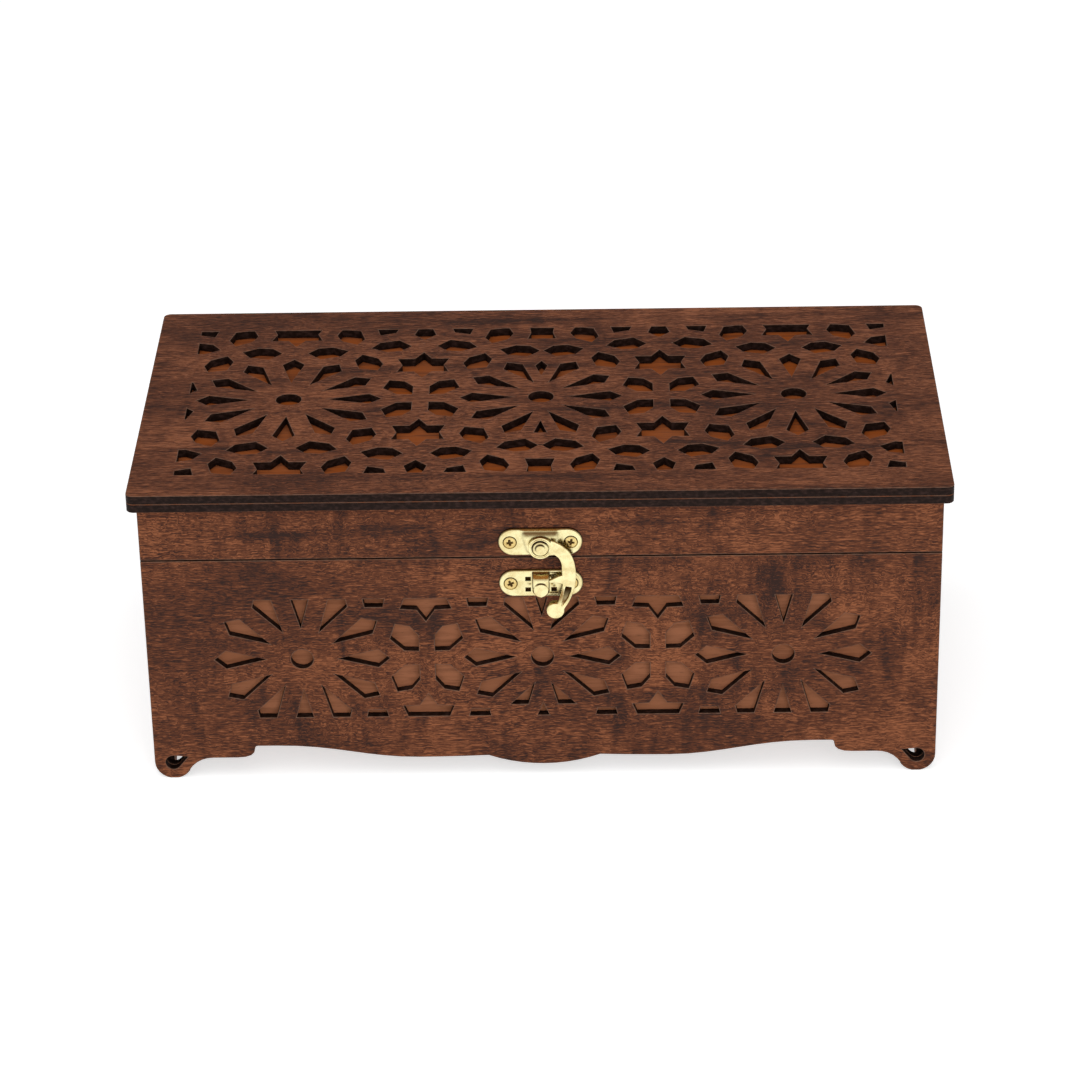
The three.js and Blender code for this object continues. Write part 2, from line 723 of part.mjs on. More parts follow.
// A plate whose front edge is bevelled: the outline shrinks over the bevel.
function bevelledPlate(length, height) {
  const low = sheet(stadium(length, height), FITTING_PLATE - PLATE_BEVEL, SEAT_GAP, ARC_STEPS.plate);
  const cap = new THREE.ExtrudeGeometry(stadium(length - 2 * PLATE_BEVEL, height - 2 * PLATE_BEVEL), {
    depth: FITTING_PLATE / 4,
    bevelEnabled: true,
    bevelThickness: PLATE_BEVEL,
    bevelSize: PLATE_BEVEL,
    bevelSegments: 1,
    curveSegments: ARC_STEPS.plate,
  });
  cap.translate(0, 0, PLATE_FACE - PLATE_BEVEL - FITTING_PLATE / 4);
  const limit = sheet(rectangle(-length, length, -height, height), FITTING_PLATE, SEAT_GAP);
  return common(join(low, cap), limit);
}

function screwPlaces(centreY) {
  return [[-LATCH_SCREW_PITCH / 2, centreY], [LATCH_SCREW_PITCH / 2, centreY]];
}

// A raised pad with sloping sides, which carries the rivet.
function boss() {
  const geometry = new THREE.CylinderGeometry(Math.SQRT1_2, Math.SQRT1_2, 1, 4, 1);
  geometry.rotateY(Math.PI / 4);
  geometry.rotateX(Math.PI / 2);
  const position = geometry.attributes.position;
  for (let index = 0; index < position.count; index += 1) {
    const isFace = position.getZ(index) > 0;
    const size = isFace ? BOSS_TOP : BOSS_BASE;
    position.setX(index, position.getX(index) * size.width);
    position.setY(index, position.getY(index) * size.height);
    position.setZ(index, isFace ? BOSS_FACE : SEAT_GAP + FITTING_PLATE / 2);
  }
  return geometry;
}

function latchPlateGeometry() {
  const plate = join(bevelledPlate(LATCH_LENGTH, LATCH_PLATE_HEIGHT), boss());
  const bore = disc(RIVET_SHANK + BORE_PLAY, 2 * BOSS_FACE, 0, -HOOK_PIVOT_DROP, 0, SIDES.bore);
  const holes = screwPlaces(0).map(([x, y]) => screwClearance(x, y));
  return cut(plate, bore, ...holes);
}

// The tongue bends out of the catch plate and hangs down in front of it.
function tongue() {
  const profile = polygon([
    [PLATE_FACE - FITTING_PLATE / 2, TONGUE_TOP],
    [PLATE_FACE - FITTING_PLATE / 2, TONGUE_TOP - NECK_HEIGHT],
    [TONGUE_BACK, TONGUE_TOP - NECK_HEIGHT],
    [TONGUE_BACK, TONGUE_BOTTOM],
    [TONGUE_FACE, TONGUE_BOTTOM],
    [TONGUE_FACE, TONGUE_TOP - NECK_HEIGHT],
    [TONGUE_FACE - NECK_HEIGHT, TONGUE_TOP],
  ]);
  const strip = sheet(profile, TONGUE_WIDTH, -TONGUE_WIDTH / 2);
  strip.rotateY(-Math.PI / 2);
  const face = new THREE.Shape();
  const radius = TONGUE_WIDTH / 2;
  face.moveTo(radius, TONGUE_TOP + CUT_PLAY);
  face.lineTo(-radius, TONGUE_TOP + CUT_PLAY);
  face.absarc(0, TONGUE_BOTTOM + radius, radius, Math.PI, 2 * Math.PI);
  return common(strip, sheet(face, 2 * TONGUE_FACE, 0, ARC_STEPS.tongue));
}

function catchPlateGeometry() {
  const plate = bevelledPlate(LATCH_LENGTH, LATCH_PLATE_HEIGHT);
  const windows = [];
  for (const side of [1, -1]) {
    for (const centre of [WINDOW.upper, WINDOW.lower]) {
      const x = side * (TONGUE_WIDTH / 2 + WINDOW.inset + WINDOW.width / 2);
      const slot = new THREE.BoxGeometry(WINDOW.width, WINDOW.height, 4 * FITTING_PLATE);
      windows.push(slot.translate(x, centre, 0));
    }
  }
  const holes = screwPlaces(0).map(([x, y]) => screwClearance(x, y));
  return join(cut(plate, ...windows, ...holes), tongue());
}

function smoothEdge(points, steps) {
  return new THREE.SplineCurve(points.map(([x, y]) => new THREE.Vector2(x, y))).getPoints(steps);
}

// Arm of the hook, from the eye down to the knob, back up to the prong and round the throat. The
// upper edge of the prong is an arc round the rivet.
function hookArm() {
  const knobRight = [KNOB_PLACE.x + KNOB_NECK.right, KNOB_PLACE.y];
  const knobLeft = [KNOB_PLACE.x - KNOB_NECK.left, KNOB_PLACE.y];
  const prongTip = [PRONG_TIP.x, -PRONG_TOP - PRONG_TIP.depth];
  const back = smoothEdge([[0, EYE_OF_HOOK], ...HOOK_BACK_EDGE, knobRight], HOOK_STEPS.back);
  const tail = smoothEdge([knobLeft, ...HOOK_TAIL_EDGE, prongTip], HOOK_STEPS.tail);
  const throat = smoothEdge([...HOOK_THROAT_EDGE, [0, -EYE_OF_HOOK]], HOOK_STEPS.throat);
  const prong = [];
  const prongStart = Math.asin(PRONG_TIP.x / PRONG_TOP);
  const prongEnd = Math.asin(PRONG_ROOT / PRONG_TOP);
  for (let step = 0; step <= HOOK_STEPS.prong; step += 1) {
    const angle = prongStart + ((prongEnd - prongStart) * step) / HOOK_STEPS.prong;
    prong.push(new THREE.Vector2(PRONG_TOP * Math.sin(angle), -PRONG_TOP * Math.cos(angle)));
  }
  return new THREE.Shape([...back, ...tail, ...prong, ...throat]);
}

// The tail leans away from the wall, so that a finger can catch the knob.
function leanOut(geometry) {
  const position = geometry.attributes.position;
  for (let index = 0; index < position.count; index += 1) {
    const share = (FLARE_START - position.getY(index)) / (FLARE_START - FLARE_END);
    const lean = FLARE * THREE.MathUtils.smoothstep(share, 0, 1);
    position.setZ(index, position.getZ(index) + lean);
  }
  return geometry;
}

function hookGeometry() {
  const arm = sheet(hookArm(), HOOK_THICKNESS, HOOK_BACK);
  const eye = disc(EYE_OF_HOOK, HOOK_THICKNESS, 0, 0, HOOK_BACK, SIDES.eye);
  const knobBack = HOOK_FACE - KNOB_THICKNESS;
  const knob = disc(KNOB_RADIUS, KNOB_THICKNESS, KNOB_PLACE.x, KNOB_PLACE.y, knobBack, SIDES.knob);
  const bore = disc(RIVET_SHANK + BORE_PLAY, 2 * HOOK_FACE, 0, 0, 0, SIDES.bore);
  return leanOut(cut(join(arm, eye, knob), bore));
}

function rivetGeometry() {
  const headBase = HOOK_FACE + RIVET_TAIL;
  const profile = [
    [0, SEAT_GAP + RIVET_TAIL],
    [RIVET_SHANK, SEAT_GAP + RIVET_TAIL],
    [RIVET_SHANK, headBase],
    [RIVET_HEAD, headBase],
    [RIVET_HEAD, headBase + RIVET_RISE / 2],
    [RIVET_HEAD - RIVET_CROWN, headBase + RIVET_RISE],
    [0, headBase + RIVET_RISE],
  ];
  return lathed(profile, SIDES.rivet);
}

// Hinges. A leaf is drawn with the pin along X at Y = 0, the leaf above it and Z out of the wall.

function knuckle(index) {
  const width = (HINGE_WIDTH - (KNUCKLES - 1) * KNUCKLE_GAP) / KNUCKLES;
  const left = -HINGE_WIDTH / 2 + index * (width + KNUCKLE_GAP);
  const round = new THREE.Shape();
  round.absarc(0, 0, BARREL_RADIUS, 0, 2 * Math.PI);
  const tube = sheet(round, width, left, ARC_STEPS.barrel);
  tube.rotateY(Math.PI / 2);
  tube.translate(0, 0, AXIS_OUT);
  const webEnd = LEAF_START + HINGE_CORNER;
  const web = sheet(rectangle(left, left + width, 0, webEnd), FITTING_PLATE, SEAT_GAP);
  return [tube, web];
}

function rod(radius, length) {
  const geometry = new THREE.CylinderGeometry(radius, radius, length, SIDES.pin);
  return geometry.rotateZ(Math.PI / 2);
}

function hingeLeafGeometry(firstKnuckle) {
  const leafShape = roundedRectangle(HINGE_WIDTH, HINGE_REACH - LEAF_START, HINGE_CORNER);
  const leaf = sheet(leafShape, FITTING_PLATE, SEAT_GAP, ARC_STEPS.leaf);
  leaf.translate(0, (HINGE_REACH + LEAF_START) / 2, 0);
  const squared = sheet(
    rectangle(-HINGE_WIDTH / 2, HINGE_WIDTH / 2, LEAF_START, LEAF_START + HINGE_CORNER),
    FITTING_PLATE,
    SEAT_GAP,
  );
  const knuckles = [];
  for (let index = firstKnuckle; index < KNUCKLES; index += 2) {
    knuckles.push(...knuckle(index));
  }
  const bore = rod(PIN_RADIUS + PIN_PLAY, 2 * HINGE_WIDTH).translate(0, 0, AXIS_OUT);
  const holes = [-1, 1].map((side) => screwClearance((side * HINGE_SCREW_PITCH) / 2, HINGE_SCREW_DROP));
  return cut(join(leaf, squared, ...knuckles), bore, ...holes);
}

// Assembly

const box = new THREE.Group();

function add(group, name, geometry, material, place = [0, 0, 0]) {
  const mesh = new THREE.Mesh(geometry, material);
  mesh.name = name;
  mesh.position.set(...place);
  group.add(mesh);
  return mesh;
}

// A group whose X, Y and Z run right, up and out of a wall, for someone who looks at that wall.
function facing(turn, distance) {
  const face = new THREE.Group();
  face.rotation.x = Math.PI / 2;
  const around = new THREE.Group();
  around.rotation.z = turn;
  around.add(face);
  face.position.set(0, -distance, 0);
  box.add(around);
  return face;
}

const frontFace = facing(0, BOX_DEPTH / 2);
const backFace = facing(Math.PI, BOX_DEPTH / 2);
const rightFace = facing(Math.PI / 2, BOX_LENGTH / 2);
const leftFace = facing(-Math.PI / 2, BOX_LENGTH / 2);

const hingePlaces = [HINGE_INSET - BOX_LENGTH / 2, BOX_LENGTH / 2 - HINGE_INSET];

function hingeScrewPlaces(drop) {
  return hingePlaces.flatMap((x) => {
    return [-1, 1].map((side) => [x + (side * HINGE_SCREW_PITCH) / 2, HINGE_AXIS_Z + drop]);
  });
}

const boxHingeScrews = hingeScrewPlaces(-HINGE_SCREW_DROP);
const lidHingeScrews = hingeScrewPlaces(HINGE_SCREW_DROP);

function addWalls() {
  const frontHoles = longWallFretHoles(BOX_LENGTH, SEAM_HEIGHT);
  const sideHoles = shortWallFretHoles(SIDE_LENGTH, SEAM_HEIGHT);
  const through = WALL_PLY + CUT_PLAY;
  const front = wallGeometry(BOX_LENGTH, LONG_SKIRT, frontHoles);
  const back = wallGeometry(BOX_LENGTH, LONG_SKIRT, []);
  const side = wallGeometry(SIDE_LENGTH, SHORT_SKIRT, sideHoles);
  const drilledFront = drilledSheet(front, WALL_PLY, through, screwPlaces(CATCH_PLATE_Z));
  const drilledBack = drilledSheet(back, WALL_PLY, through, boxHingeScrews);
  add(frontFace, 'front_wall', drilledFront, stained, [0, 0, -WALL_PLY]);
  add(backFace, 'back_wall', drilledBack, stained, [0, 0, -WALL_PLY]);
  add(leftFace, 'left_wall', side, stained, [0, 0, -WALL_PLY]);
  add(rightFace, 'right_wall', side.clone(), stained, [0, 0, -WALL_PLY]);
}

function addLinings() {
  const inward = -WALL_PLY - GLUE_LINE - LINING_PLY;
  const long = () => liningGeometry(LINING_LENGTH, BOX_LENGTH, LONG_SKIRT);
  const short = () => liningGeometry(LINING_DEPTH, SIDE_LENGTH, SHORT_SKIRT);
  const depth = Math.min(SCREW_DEPTH - WALL_PLY + PILOT_EXTRA, LINING_PLY / 2 + PILOT_EXTRA);
  const front = drilledSheet(long(), LINING_PLY, depth, screwPlaces(CATCH_PLATE_Z));
  const back = drilledSheet(long(), LINING_PLY, depth, boxHingeScrews);
  add(frontFace, 'front_lining', front, lining, [0, 0, inward]);
  add(backFace, 'back_lining', back, lining, [0, 0, inward]);
  add(leftFace, 'left_lining', short(), lining, [0, 0, inward]);
  add(rightFace, 'right_lining', short(), lining, [0, 0, inward]);
}

function addFloor() {
  const shape = rectangle(-WELL_LENGTH / 2, WELL_LENGTH / 2, -LINING_DEPTH / 2, LINING_DEPTH / 2);
  add(box, 'floor_panel', sheet(shape, FLOOR_PLY), lining, [0, 0, FLOOR_HEIGHT]);
}

// A board that stands on edge, with slots half its height: from the top, or from the bottom.
function slottedBoard(length, slots, fromTop) {
  const half = length / 2;
  const slotHalf = DIVIDER_PLY / 2 + SLOT_PLAY;
  const middle = DIVIDER_HEIGHT / 2;
  const edge = [];
  const slotEdge = fromTop ? DIVIDER_HEIGHT : 0;
  const slotEnd = fromTop ? middle - SLOT_PLAY : middle + SLOT_PLAY;
  for (const place of slots) {
    edge.push([place - slotHalf, slotEdge], [place - slotHalf, slotEnd]);
    edge.push([place + slotHalf, slotEnd], [place + slotHalf, slotEdge]);
  }
  const slotted = [[-half, slotEdge], ...edge, [half, slotEdge]];
  const plainEdge = DIVIDER_HEIGHT - slotEdge;
  const points = [...slotted, [half, plainEdge], [-half, plainEdge]];
  return polygon(fromTop ? points.reverse() : points);
}

function addDividers() {
  const longLength = WELL_LENGTH - 2 * GLUE_LINE;
  const shortLength = LINING_DEPTH - 2 * GLUE_LINE;
  const places = [];
  for (let column = 1; column < COLUMNS; column += 1) {
    places.push(-longLength / 2 + (longLength * column) / COLUMNS);
  }
  const long = sheet(slottedBoard(longLength, places, true), DIVIDER_PLY).rotateX(Math.PI / 2);
  add(box, 'long_divider', long, lining, [0, DIVIDER_PLY / 2, DIVIDER_BASE]);
  places.forEach((place, index) => {
    const short = sheet(slottedBoard(shortLength, [0], false), DIVIDER_PLY).rotateX(Math.PI / 2);
    short.rotateZ(Math.PI / 2);
    const corner = [place - DIVIDER_PLY / 2, 0, DIVIDER_BASE];
    add(box, `cross_divider_${index + 1}`, short, lining, corner);
  });
}

function addRim() {
  const rail = (length) => rectangle(-length / 2, length / 2, RIM_BASE, RIM_TOP);
  const inward = -RIM_PLY - GLUE_LINE - RIM_LINING_PLY;
  const through = RIM_PLY + CUT_PLAY;
  const depth = Math.min(SCREW_DEPTH - RIM_PLY + PILOT_EXTRA, RIM_LINING_PLY / 2 + PILOT_EXTRA);
  const latchScrews = screwPlaces(LATCH_PLATE_Z);
  const outer = (length, places) => drilledSheet(sheet(rail(length), RIM_PLY), RIM_PLY, through, places);
  const inner = (length, places) => {
    return drilledSheet(sheet(rail(length), RIM_LINING_PLY), RIM_LINING_PLY, depth, places);
  };
  add(frontFace, 'lid_front_rail', outer(BOX_LENGTH, latchScrews), stained, [0, 0, -RIM_PLY]);
  add(backFace, 'lid_back_rail', outer(BOX_LENGTH, lidHingeScrews), stained, [0, 0, -RIM_PLY]);
  add(leftFace, 'lid_left_rail', outer(RIM_SIDE, []), stained, [0, 0, -RIM_PLY]);
  add(rightFace, 'lid_right_rail', outer(RIM_SIDE, []), stained, [0, 0, -RIM_PLY]);
  add(frontFace, 'lid_front_lining', inner(RIM_LINING_LENGTH, latchScrews), lining, [0, 0, inward]);
  add(backFace, 'lid_back_lining', inner(RIM_LINING_LENGTH, lidHingeScrews), lining, [0, 0, inward]);
  add(leftFace, 'lid_left_lining', inner(RIM_LINING_SIDE, []), lining, [0, 0, inward]);
  add(rightFace, 'lid_right_lining', inner(RIM_LINING_SIDE, []), lining, [0, 0, inward]);
}

function addLidPlates() {
  const outline = roundedRectangle(LID_LENGTH, LID_DEPTH, LID_CORNER);
  const fret = piercedSheet(outline, FRET_PLY, lidFretHoles());
  add(box, 'lid_backing', sheet(outline, BACKING_PLY), backing, [0, 0, BACKING_BASE]);
  add(box, 'lid_fret', fret, stained, [0, 0, FRET_BASE]);
}

function addLatch() {
  add(frontFace, 'latch_plate', latchPlateGeometry(), brass, [0, LATCH_PLATE_Z, 0]);
  add(frontFace, 'catch_plate', catchPlateGeometry(), brass, [0, CATCH_PLATE_Z, 0]);
  add(frontFace, 'latch_hook', hookGeometry(), brass, [0, HOOK_PIVOT_Z, 0]);
  add(frontFace, 'latch_rivet', rivetGeometry(), brass, [0, HOOK_PIVOT_Z, 0]);
}

function addScrews(face, prefix, places) {
  places.forEach(([x, y], index) => {
    add(face, `${prefix}_screw_${index + 1}`, screwGeometry(), steel, [x, y, PLATE_FACE + GLUE_LINE]);
  });
}

function addHinges() {
  hingePlaces.forEach((x, index) => {
    const side = index ? 'left' : 'right';
    const place = [x, HINGE_AXIS_Z, 0];
    const boxLeaf = hingeLeafGeometry(0).rotateZ(Math.PI);
    add(backFace, `${side}_hinge_box_leaf`, boxLeaf, brass, place);
    add(backFace, `${side}_hinge_lid_leaf`, hingeLeafGeometry(1), brass, place);
    add(backFace, `${side}_hinge_pin`, rod(PIN_RADIUS, PIN_LENGTH), steel, [x, HINGE_AXIS_Z, AXIS_OUT]);
  });
}

addWalls();
addLinings();
addFloor();
addDividers();
addRim();
addLidPlates();
addLatch();
addHinges();
addScrews(frontFace, 'latch', screwPlaces(LATCH_PLATE_Z));
addScrews(frontFace, 'catch', screwPlaces(CATCH_PLATE_Z));
addScrews(backFace, 'box_hinge', boxHingeScrews);
addScrews(backFace, 'lid_hinge', lidHingeScrews);
box.position.y = CENTRING;

export default box;
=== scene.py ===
"""Serving box in stained plywood with a pierced lid, pierced walls and a brass swing latch.

Dresses the solid parts of the box: chamfered sheets with burnt edges, a stamped and polished
latch, countersunk screws, rolled hinges, and the studio that they are seen in. Points are in
metres in the frame of the solid parts. Small brass shapes are written in millimetres, as seen from
the side that they are screwed to: x to the right, z up, and out of the wall.
"""

import json
import math

import bmesh
import bpy
from bpy.props import FloatProperty, FloatVectorProperty, PointerProperty
from mathutils import Matrix, Vector


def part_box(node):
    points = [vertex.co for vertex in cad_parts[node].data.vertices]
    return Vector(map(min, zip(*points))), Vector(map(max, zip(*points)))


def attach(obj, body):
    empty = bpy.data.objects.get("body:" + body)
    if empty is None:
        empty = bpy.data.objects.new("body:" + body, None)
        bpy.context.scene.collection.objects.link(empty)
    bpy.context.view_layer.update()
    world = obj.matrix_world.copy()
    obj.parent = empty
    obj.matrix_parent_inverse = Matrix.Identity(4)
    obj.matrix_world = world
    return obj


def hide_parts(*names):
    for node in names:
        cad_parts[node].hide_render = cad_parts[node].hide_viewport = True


bl_info = {
    "name": "Serving Box",
    "version": (1, 0, 0),
    "blender": (4, 5, 0),
    "location": "View3D > Sidebar > Serving Box",
    "description": "Dresses a serving box with stained plywood, burnt edges and polished brass",
    "category": "Add Mesh",
}

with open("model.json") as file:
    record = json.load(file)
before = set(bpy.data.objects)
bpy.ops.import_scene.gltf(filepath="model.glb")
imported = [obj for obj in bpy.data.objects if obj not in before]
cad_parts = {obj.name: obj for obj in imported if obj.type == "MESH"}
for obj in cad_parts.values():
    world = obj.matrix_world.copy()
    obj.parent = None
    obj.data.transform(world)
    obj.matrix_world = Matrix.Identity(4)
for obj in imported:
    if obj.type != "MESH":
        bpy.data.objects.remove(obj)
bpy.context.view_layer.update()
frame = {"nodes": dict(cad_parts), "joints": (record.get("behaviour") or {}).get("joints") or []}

MM = 0.001
# Points closer than this, in metres, are one
MERGE = 1e-6
# Longest step into a sheet at a sharp corner, as a share of the chamfer
MITRE = 2.5
WOOD_SHEEN = 0.09
FRONT_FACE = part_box("front_wall")[0].y
BACK_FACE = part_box("back_wall")[1].y


def joint_place(name):
    """Place of a joint's axis."""
    return Vector(next(j["pos_m"] for j in frame["joints"] if j["name"] == name))


HOOK_PIVOT_Z = joint_place("hook_swing").z / MM
HINGE_AXIS_Z = joint_place("lid_hinge").z / MM
HINGE_AXIS_OUT = (joint_place("lid_hinge").y - BACK_FACE) / MM


def middle(node):
    """Middle of a solid part's box, in millimetres."""
    low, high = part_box(node)
    return (low + high) / 2 / MM


# Sheets of plywood: node, body, face axis, grain axis and look
SIDES = [("front", "Y", "X"), ("back", "Y", "X"), ("left", "X", "Y"), ("right", "X", "Y")]
PIERCED_SHEETS = [
    ("lid_fret", "lid", "Z", "X", "lid"),
    ("lid_backing", "lid", "Z", "X", "backing"),
]
RIM_SHEETS = [
    (f"lid_{side}_{part}", "lid", face, grain, part)
    for part in ("rail", "lining")
    for side, face, grain in SIDES
]
WALL_SHEETS = [
    (f"{side}_wall", "box", face, grain, "wall" if face == "Y" else "side")
    for side, face, grain in SIDES
]
INNER_SHEETS = [
    *[(f"{side}_lining", "box", face, grain, "lining") for side, face, grain in SIDES],
    ("floor_panel", "box", "Z", "X", "lining"),
    ("long_divider", "box", "Y", "X", "lining"),
    *[(f"cross_divider_{number}", "box", "X", "Y", "lining") for number in (1, 2, 3)],
]

# Latch, in millimetres. Faces and backs are heights out of the wall, and the flare of the hook's
# tail is given by its heights below the rivet.
PLATE_SEAT = 0.2
PLATE_FACE = 1.0
BOSS_FACE = 2.1
PLATE_LENGTH = 28.0
PLATE_HEIGHT = 10.1
SCREW_X = 10.1
SEAT_DEPTH = 0.5
HOOK_BACK = 2.4
HOOK_FACE = 3.6
RIVET_FACE = 4.5
FLARE = 2.2
FLARE_START = -14.5
FLARE_END = -21.0


def colour_property(name, description, default):
    """A colour, given as it looks on the screen."""
    return FloatVectorProperty(
        name=name, description=description, subtype="COLOR_GAMMA", min=0, max=1, default=default
    )


def number_property(name, description, default, subtype="NONE", unit="NONE"):
    """A number that is never below zero."""
    return FloatProperty(
        name=name, description=description, subtype=subtype, unit=unit, min=0, default=default
    )


def angle_property(name, description, degrees):
    return FloatProperty(
        name=name,
        description=description,
        subtype="ANGLE",
        unit="ROTATION",
        default=math.radians(degrees),
    )


class ServingBoxWood(bpy.types.PropertyGroup):
    """Stains and edges of the plywood."""

    deep_stain: colour_property(
        "Deep stain", "Dark patches where the wood took up most stain", (0.22, 0.155, 0.138)
    )
    stain: colour_property("Stain", "Red-brown stain of the sheets", (0.385, 0.225, 0.157))
    thin_stain: colour_property(
        "Thin stain", "Orange patches where the wood took up least stain", (0.61, 0.375, 0.25)
    )
    burnt_edge: colour_property(
        "Burnt edge", "Cut edges darkened by the laser", (0.105, 0.065, 0.05)
    )
    # Worn edge also gives a painted sheen, where the corners would catch the light
    worn_edge_and_sheen: colour_property(
        "Worn edge", "Thin line where the stain has rubbed off the corners", (0.48, 0.365, 0.3)
    )
    backing: colour_property(
        "Backing", "Orange-brown sheet behind the pierced lid", (0.61, 0.31, 0.125)
    )
    lining: colour_property(
        "Lining", "Smooth brown sheets inside the walls", (0.67, 0.435, 0.31)
    )
    chamfer: number_property(
        "Chamfer", "Width of the rubbed corners of the sheets", 0.00012, "DISTANCE", "LENGTH"
    )
    # The pale line is partly ash and partly painted sheen
    edge_line: number_property(
        "Edge line", "Width of the pale line of ash along the cuts", 0.00022, "DISTANCE", "LENGTH"
    )


class ServingBoxBrass(bpy.types.PropertyGroup):
    """Polish and colour of the fittings."""

    brass: colour_property("Brass", "Pale yellow of the polished fittings", (0.95, 0.91, 0.7))
    deep_brass: colour_property(
        "Deep brass", "Deeper yellow where the polish has thinned", (0.76, 0.64, 0.38)
    )
    # Tarnish also gives the painted shade and painted reflections of dark surroundings on the
    # brass
    tarnish_and_shade: colour_property(
        "Tarnish", "Brown that stays in the corners of the stamped brass", (0.24, 0.15, 0.06)
    )
    screw: colour_property(
        "Screw", "Brass-plated steel of the screws and the hinge pins", (0.88, 0.78, 0.52)
    )
    edge_roll: number_property(
        "Rolled edge",
        "Width over which the edge of a stamped plate curves down",
        0.0008,
        "DISTANCE",
        "LENGTH",
    )


class ServingBoxStudio(bpy.types.PropertyGroup):
    """Camera, lamps and room light."""

    camera_place: FloatVectorProperty(
        name="Camera place",
        description="Where the camera stands",
        subtype="TRANSLATION",
        unit="LENGTH",
        default=(0.02005, -1.2087, 0.7028),
    )
    lens: number_property("Lens", "Focal length of the camera, in millimetres", 130.7)
    pitch: angle_property("Pitch", "How far the camera looks down", 28.19)
    yaw: angle_property("Yaw", "How far the camera turns to the right", -1.01)
    roll: angle_property("Roll", "How far the camera leans", -1.13)
    key_power: number_property(
        "Key lamp", "Power of the large lamp above the box", 14.0, "POWER", "POWER"
    )
    fill_power: number_property(
        "Fill lamp", "Power of the lamp in front of the box", 12.5, "POWER", "POWER"
    )
    sky: number_property("Room light", "Strength of the even light from all round", 0.25)


def linear(colour):
    """A screen colour as the linear colour that the shaders take."""
    return [
        part / 12.92 if part <= 0.04045 else ((part + 0.055) / 1.055) ** 2.4
        for part in colour
    ]


class Nodes:
    """Short ways to add nodes to a tree."""

    def __init__(self, tree):
        self.tree = tree

    def add(self, kind, **settings):
        made = self.tree.nodes.new(kind)
        for name, value in settings.items():
            setattr(made, name, value)
        return made

    def feed(self, socket, value):
        """Link a socket, or give it a fixed value."""
        if isinstance(value, bpy.types.NodeSocket):
            self.tree.links.new(value, socket)
        else:
            socket.default_value = value

    def fill(self, node, **values):
        """Feed sockets by name, with _ for a space."""
        for name, value in values.items():
            self.feed(node.inputs[name.replace("_", " ")], value)

    def math(self, operation, first, second=0.0, kind="ShaderNodeMath"):
        made = self.add(kind, operation=operation)
        self.feed(made.inputs[0], first)
        self.feed(made.inputs[1], second)
        return made.outputs[0]

    def vector_math(self, operation, first, second):
        return self.math(operation, first, second, "ShaderNodeVectorMath")

    def band(self, value, low, high, start=0.0, end=1.0):
        """Smooth step of a value from low to high."""
        made = self.add("ShaderNodeMapRange", interpolation_type="SMOOTHSTEP")
        for socket, number in zip(made.inputs[:5], (value, low, high, start, end)):
            self.feed(socket, number)
        return made.outputs[0]

    def mix(self, factor, first, second):
        made = self.add("ShaderNodeMix", data_type="RGBA")
        self.feed(made.inputs[0], factor)
        for socket, value in zip(made.inputs[6:8], (first, second)):
            if not isinstance(value, bpy.types.NodeSocket):
                value = (*linear(value), 1.0)
            self.feed(socket, value)
        return made.outputs[2]

    def seen(self):
        """1 for what the camera sees, directly, in metal or through something clear."""
        rays = self.add("ShaderNodeLightPath").outputs
        either = self.math("MAXIMUM", rays["Is Camera Ray"], rays["Is Glossy Ray"])
        return self.math("MAXIMUM", either, rays["Is Transmission Ray"])


class Finish(Nodes):
    """A material in the making, with noise and bumps on the scale of its piece."""

    def __init__(self, name):
        self.material = bpy.data.materials.new(name)
        self.material.use_nodes = True
        super().__init__(self.material.node_tree)
        self.tree.nodes.clear()
        self.shader = self.add("ShaderNodeBsdfPrincipled")
        output = self.add("ShaderNodeOutputMaterial")
        self.tree.links.new(self.shader.outputs["BSDF"], output.inputs["Surface"])
        self.coordinates = self.add("ShaderNodeTexCoord")

    def noise(self, vector, scale, detail=3.0, roughness=0.55, distortion=0.0):
        """Noise whose scale is given in cycles a millimetre along each axis."""
        made = self.add("ShaderNodeTexNoise")
        self.fill(made, Vector=self.vector_math("MULTIPLY", vector, scale), Scale=1.0)
        self.fill(made, Detail=detail, Roughness=roughness, Distortion=distortion)
        return made.outputs["Fac"]

    def millimetres(self, grain_axis="X", shift=(0.0, 0.0, 0.0)):
        """Place on the piece, in millimetres, turned to have the grain along x, and shifted."""
        turn = math.radians(90) if grain_axis == "Y" else 0.0
        made = self.add("ShaderNodeMapping")
        self.fill(made, Scale=(1 / MM, 1 / MM, 1 / MM), Rotation=(0.0, 0.0, turn))
        self.fill(made, Vector=self.coordinates.outputs["Object"], Location=shift)
        return made.outputs[0]

    def facing(self, axis):
        """How squarely the surface faces an axis of its piece: 1 on a face, 0 on an edge."""
        parts = self.add("ShaderNodeSeparateXYZ")
        self.feed(parts.inputs[0], self.coordinates.outputs["Normal"])
        return self.math("ABSOLUTE", parts.outputs[axis])

    def bump(self, height, strength, distance):
        made = self.add("ShaderNodeBump")
        self.fill(made, Strength=strength, Distance=distance, Height=height)
        self.fill(self.shader, Normal=made.outputs["Normal"])


def edge_colours(finish, colour, face_axis, wood):
    """Burnt edges, and a pale line along them on the faces: partly ash and worn stain, partly
    painted sheen where the corners catch light.
    """
    facing = finish.facing(face_axis)
    rim = finish.add("ShaderNodeAttribute", attribute_name="rim").outputs["Fac"]
    soot = finish.noise(finish.millimetres(), (0.5, 0.5, 0.9), 4.0)
    broken = finish.band(soot, 0.3, 0.62, 0.3, 0.9)
    # Pale line: partly ash and worn stain, partly painted sheen
    ash_and_sheen = finish.math("MULTIPLY", finish.band(rim, 0.15, 0.75), broken)
    colour = finish.mix(ash_and_sheen, colour, wood.worn_edge_and_sheen)
    burnt = finish.band(facing, 0.2, 0.5, 1.0, 0.0)
    brown = finish.mix(finish.band(soot, 0.4, 0.75), wood.burnt_edge, wood.deep_stain)
    return finish.mix(burnt, colour, brown)


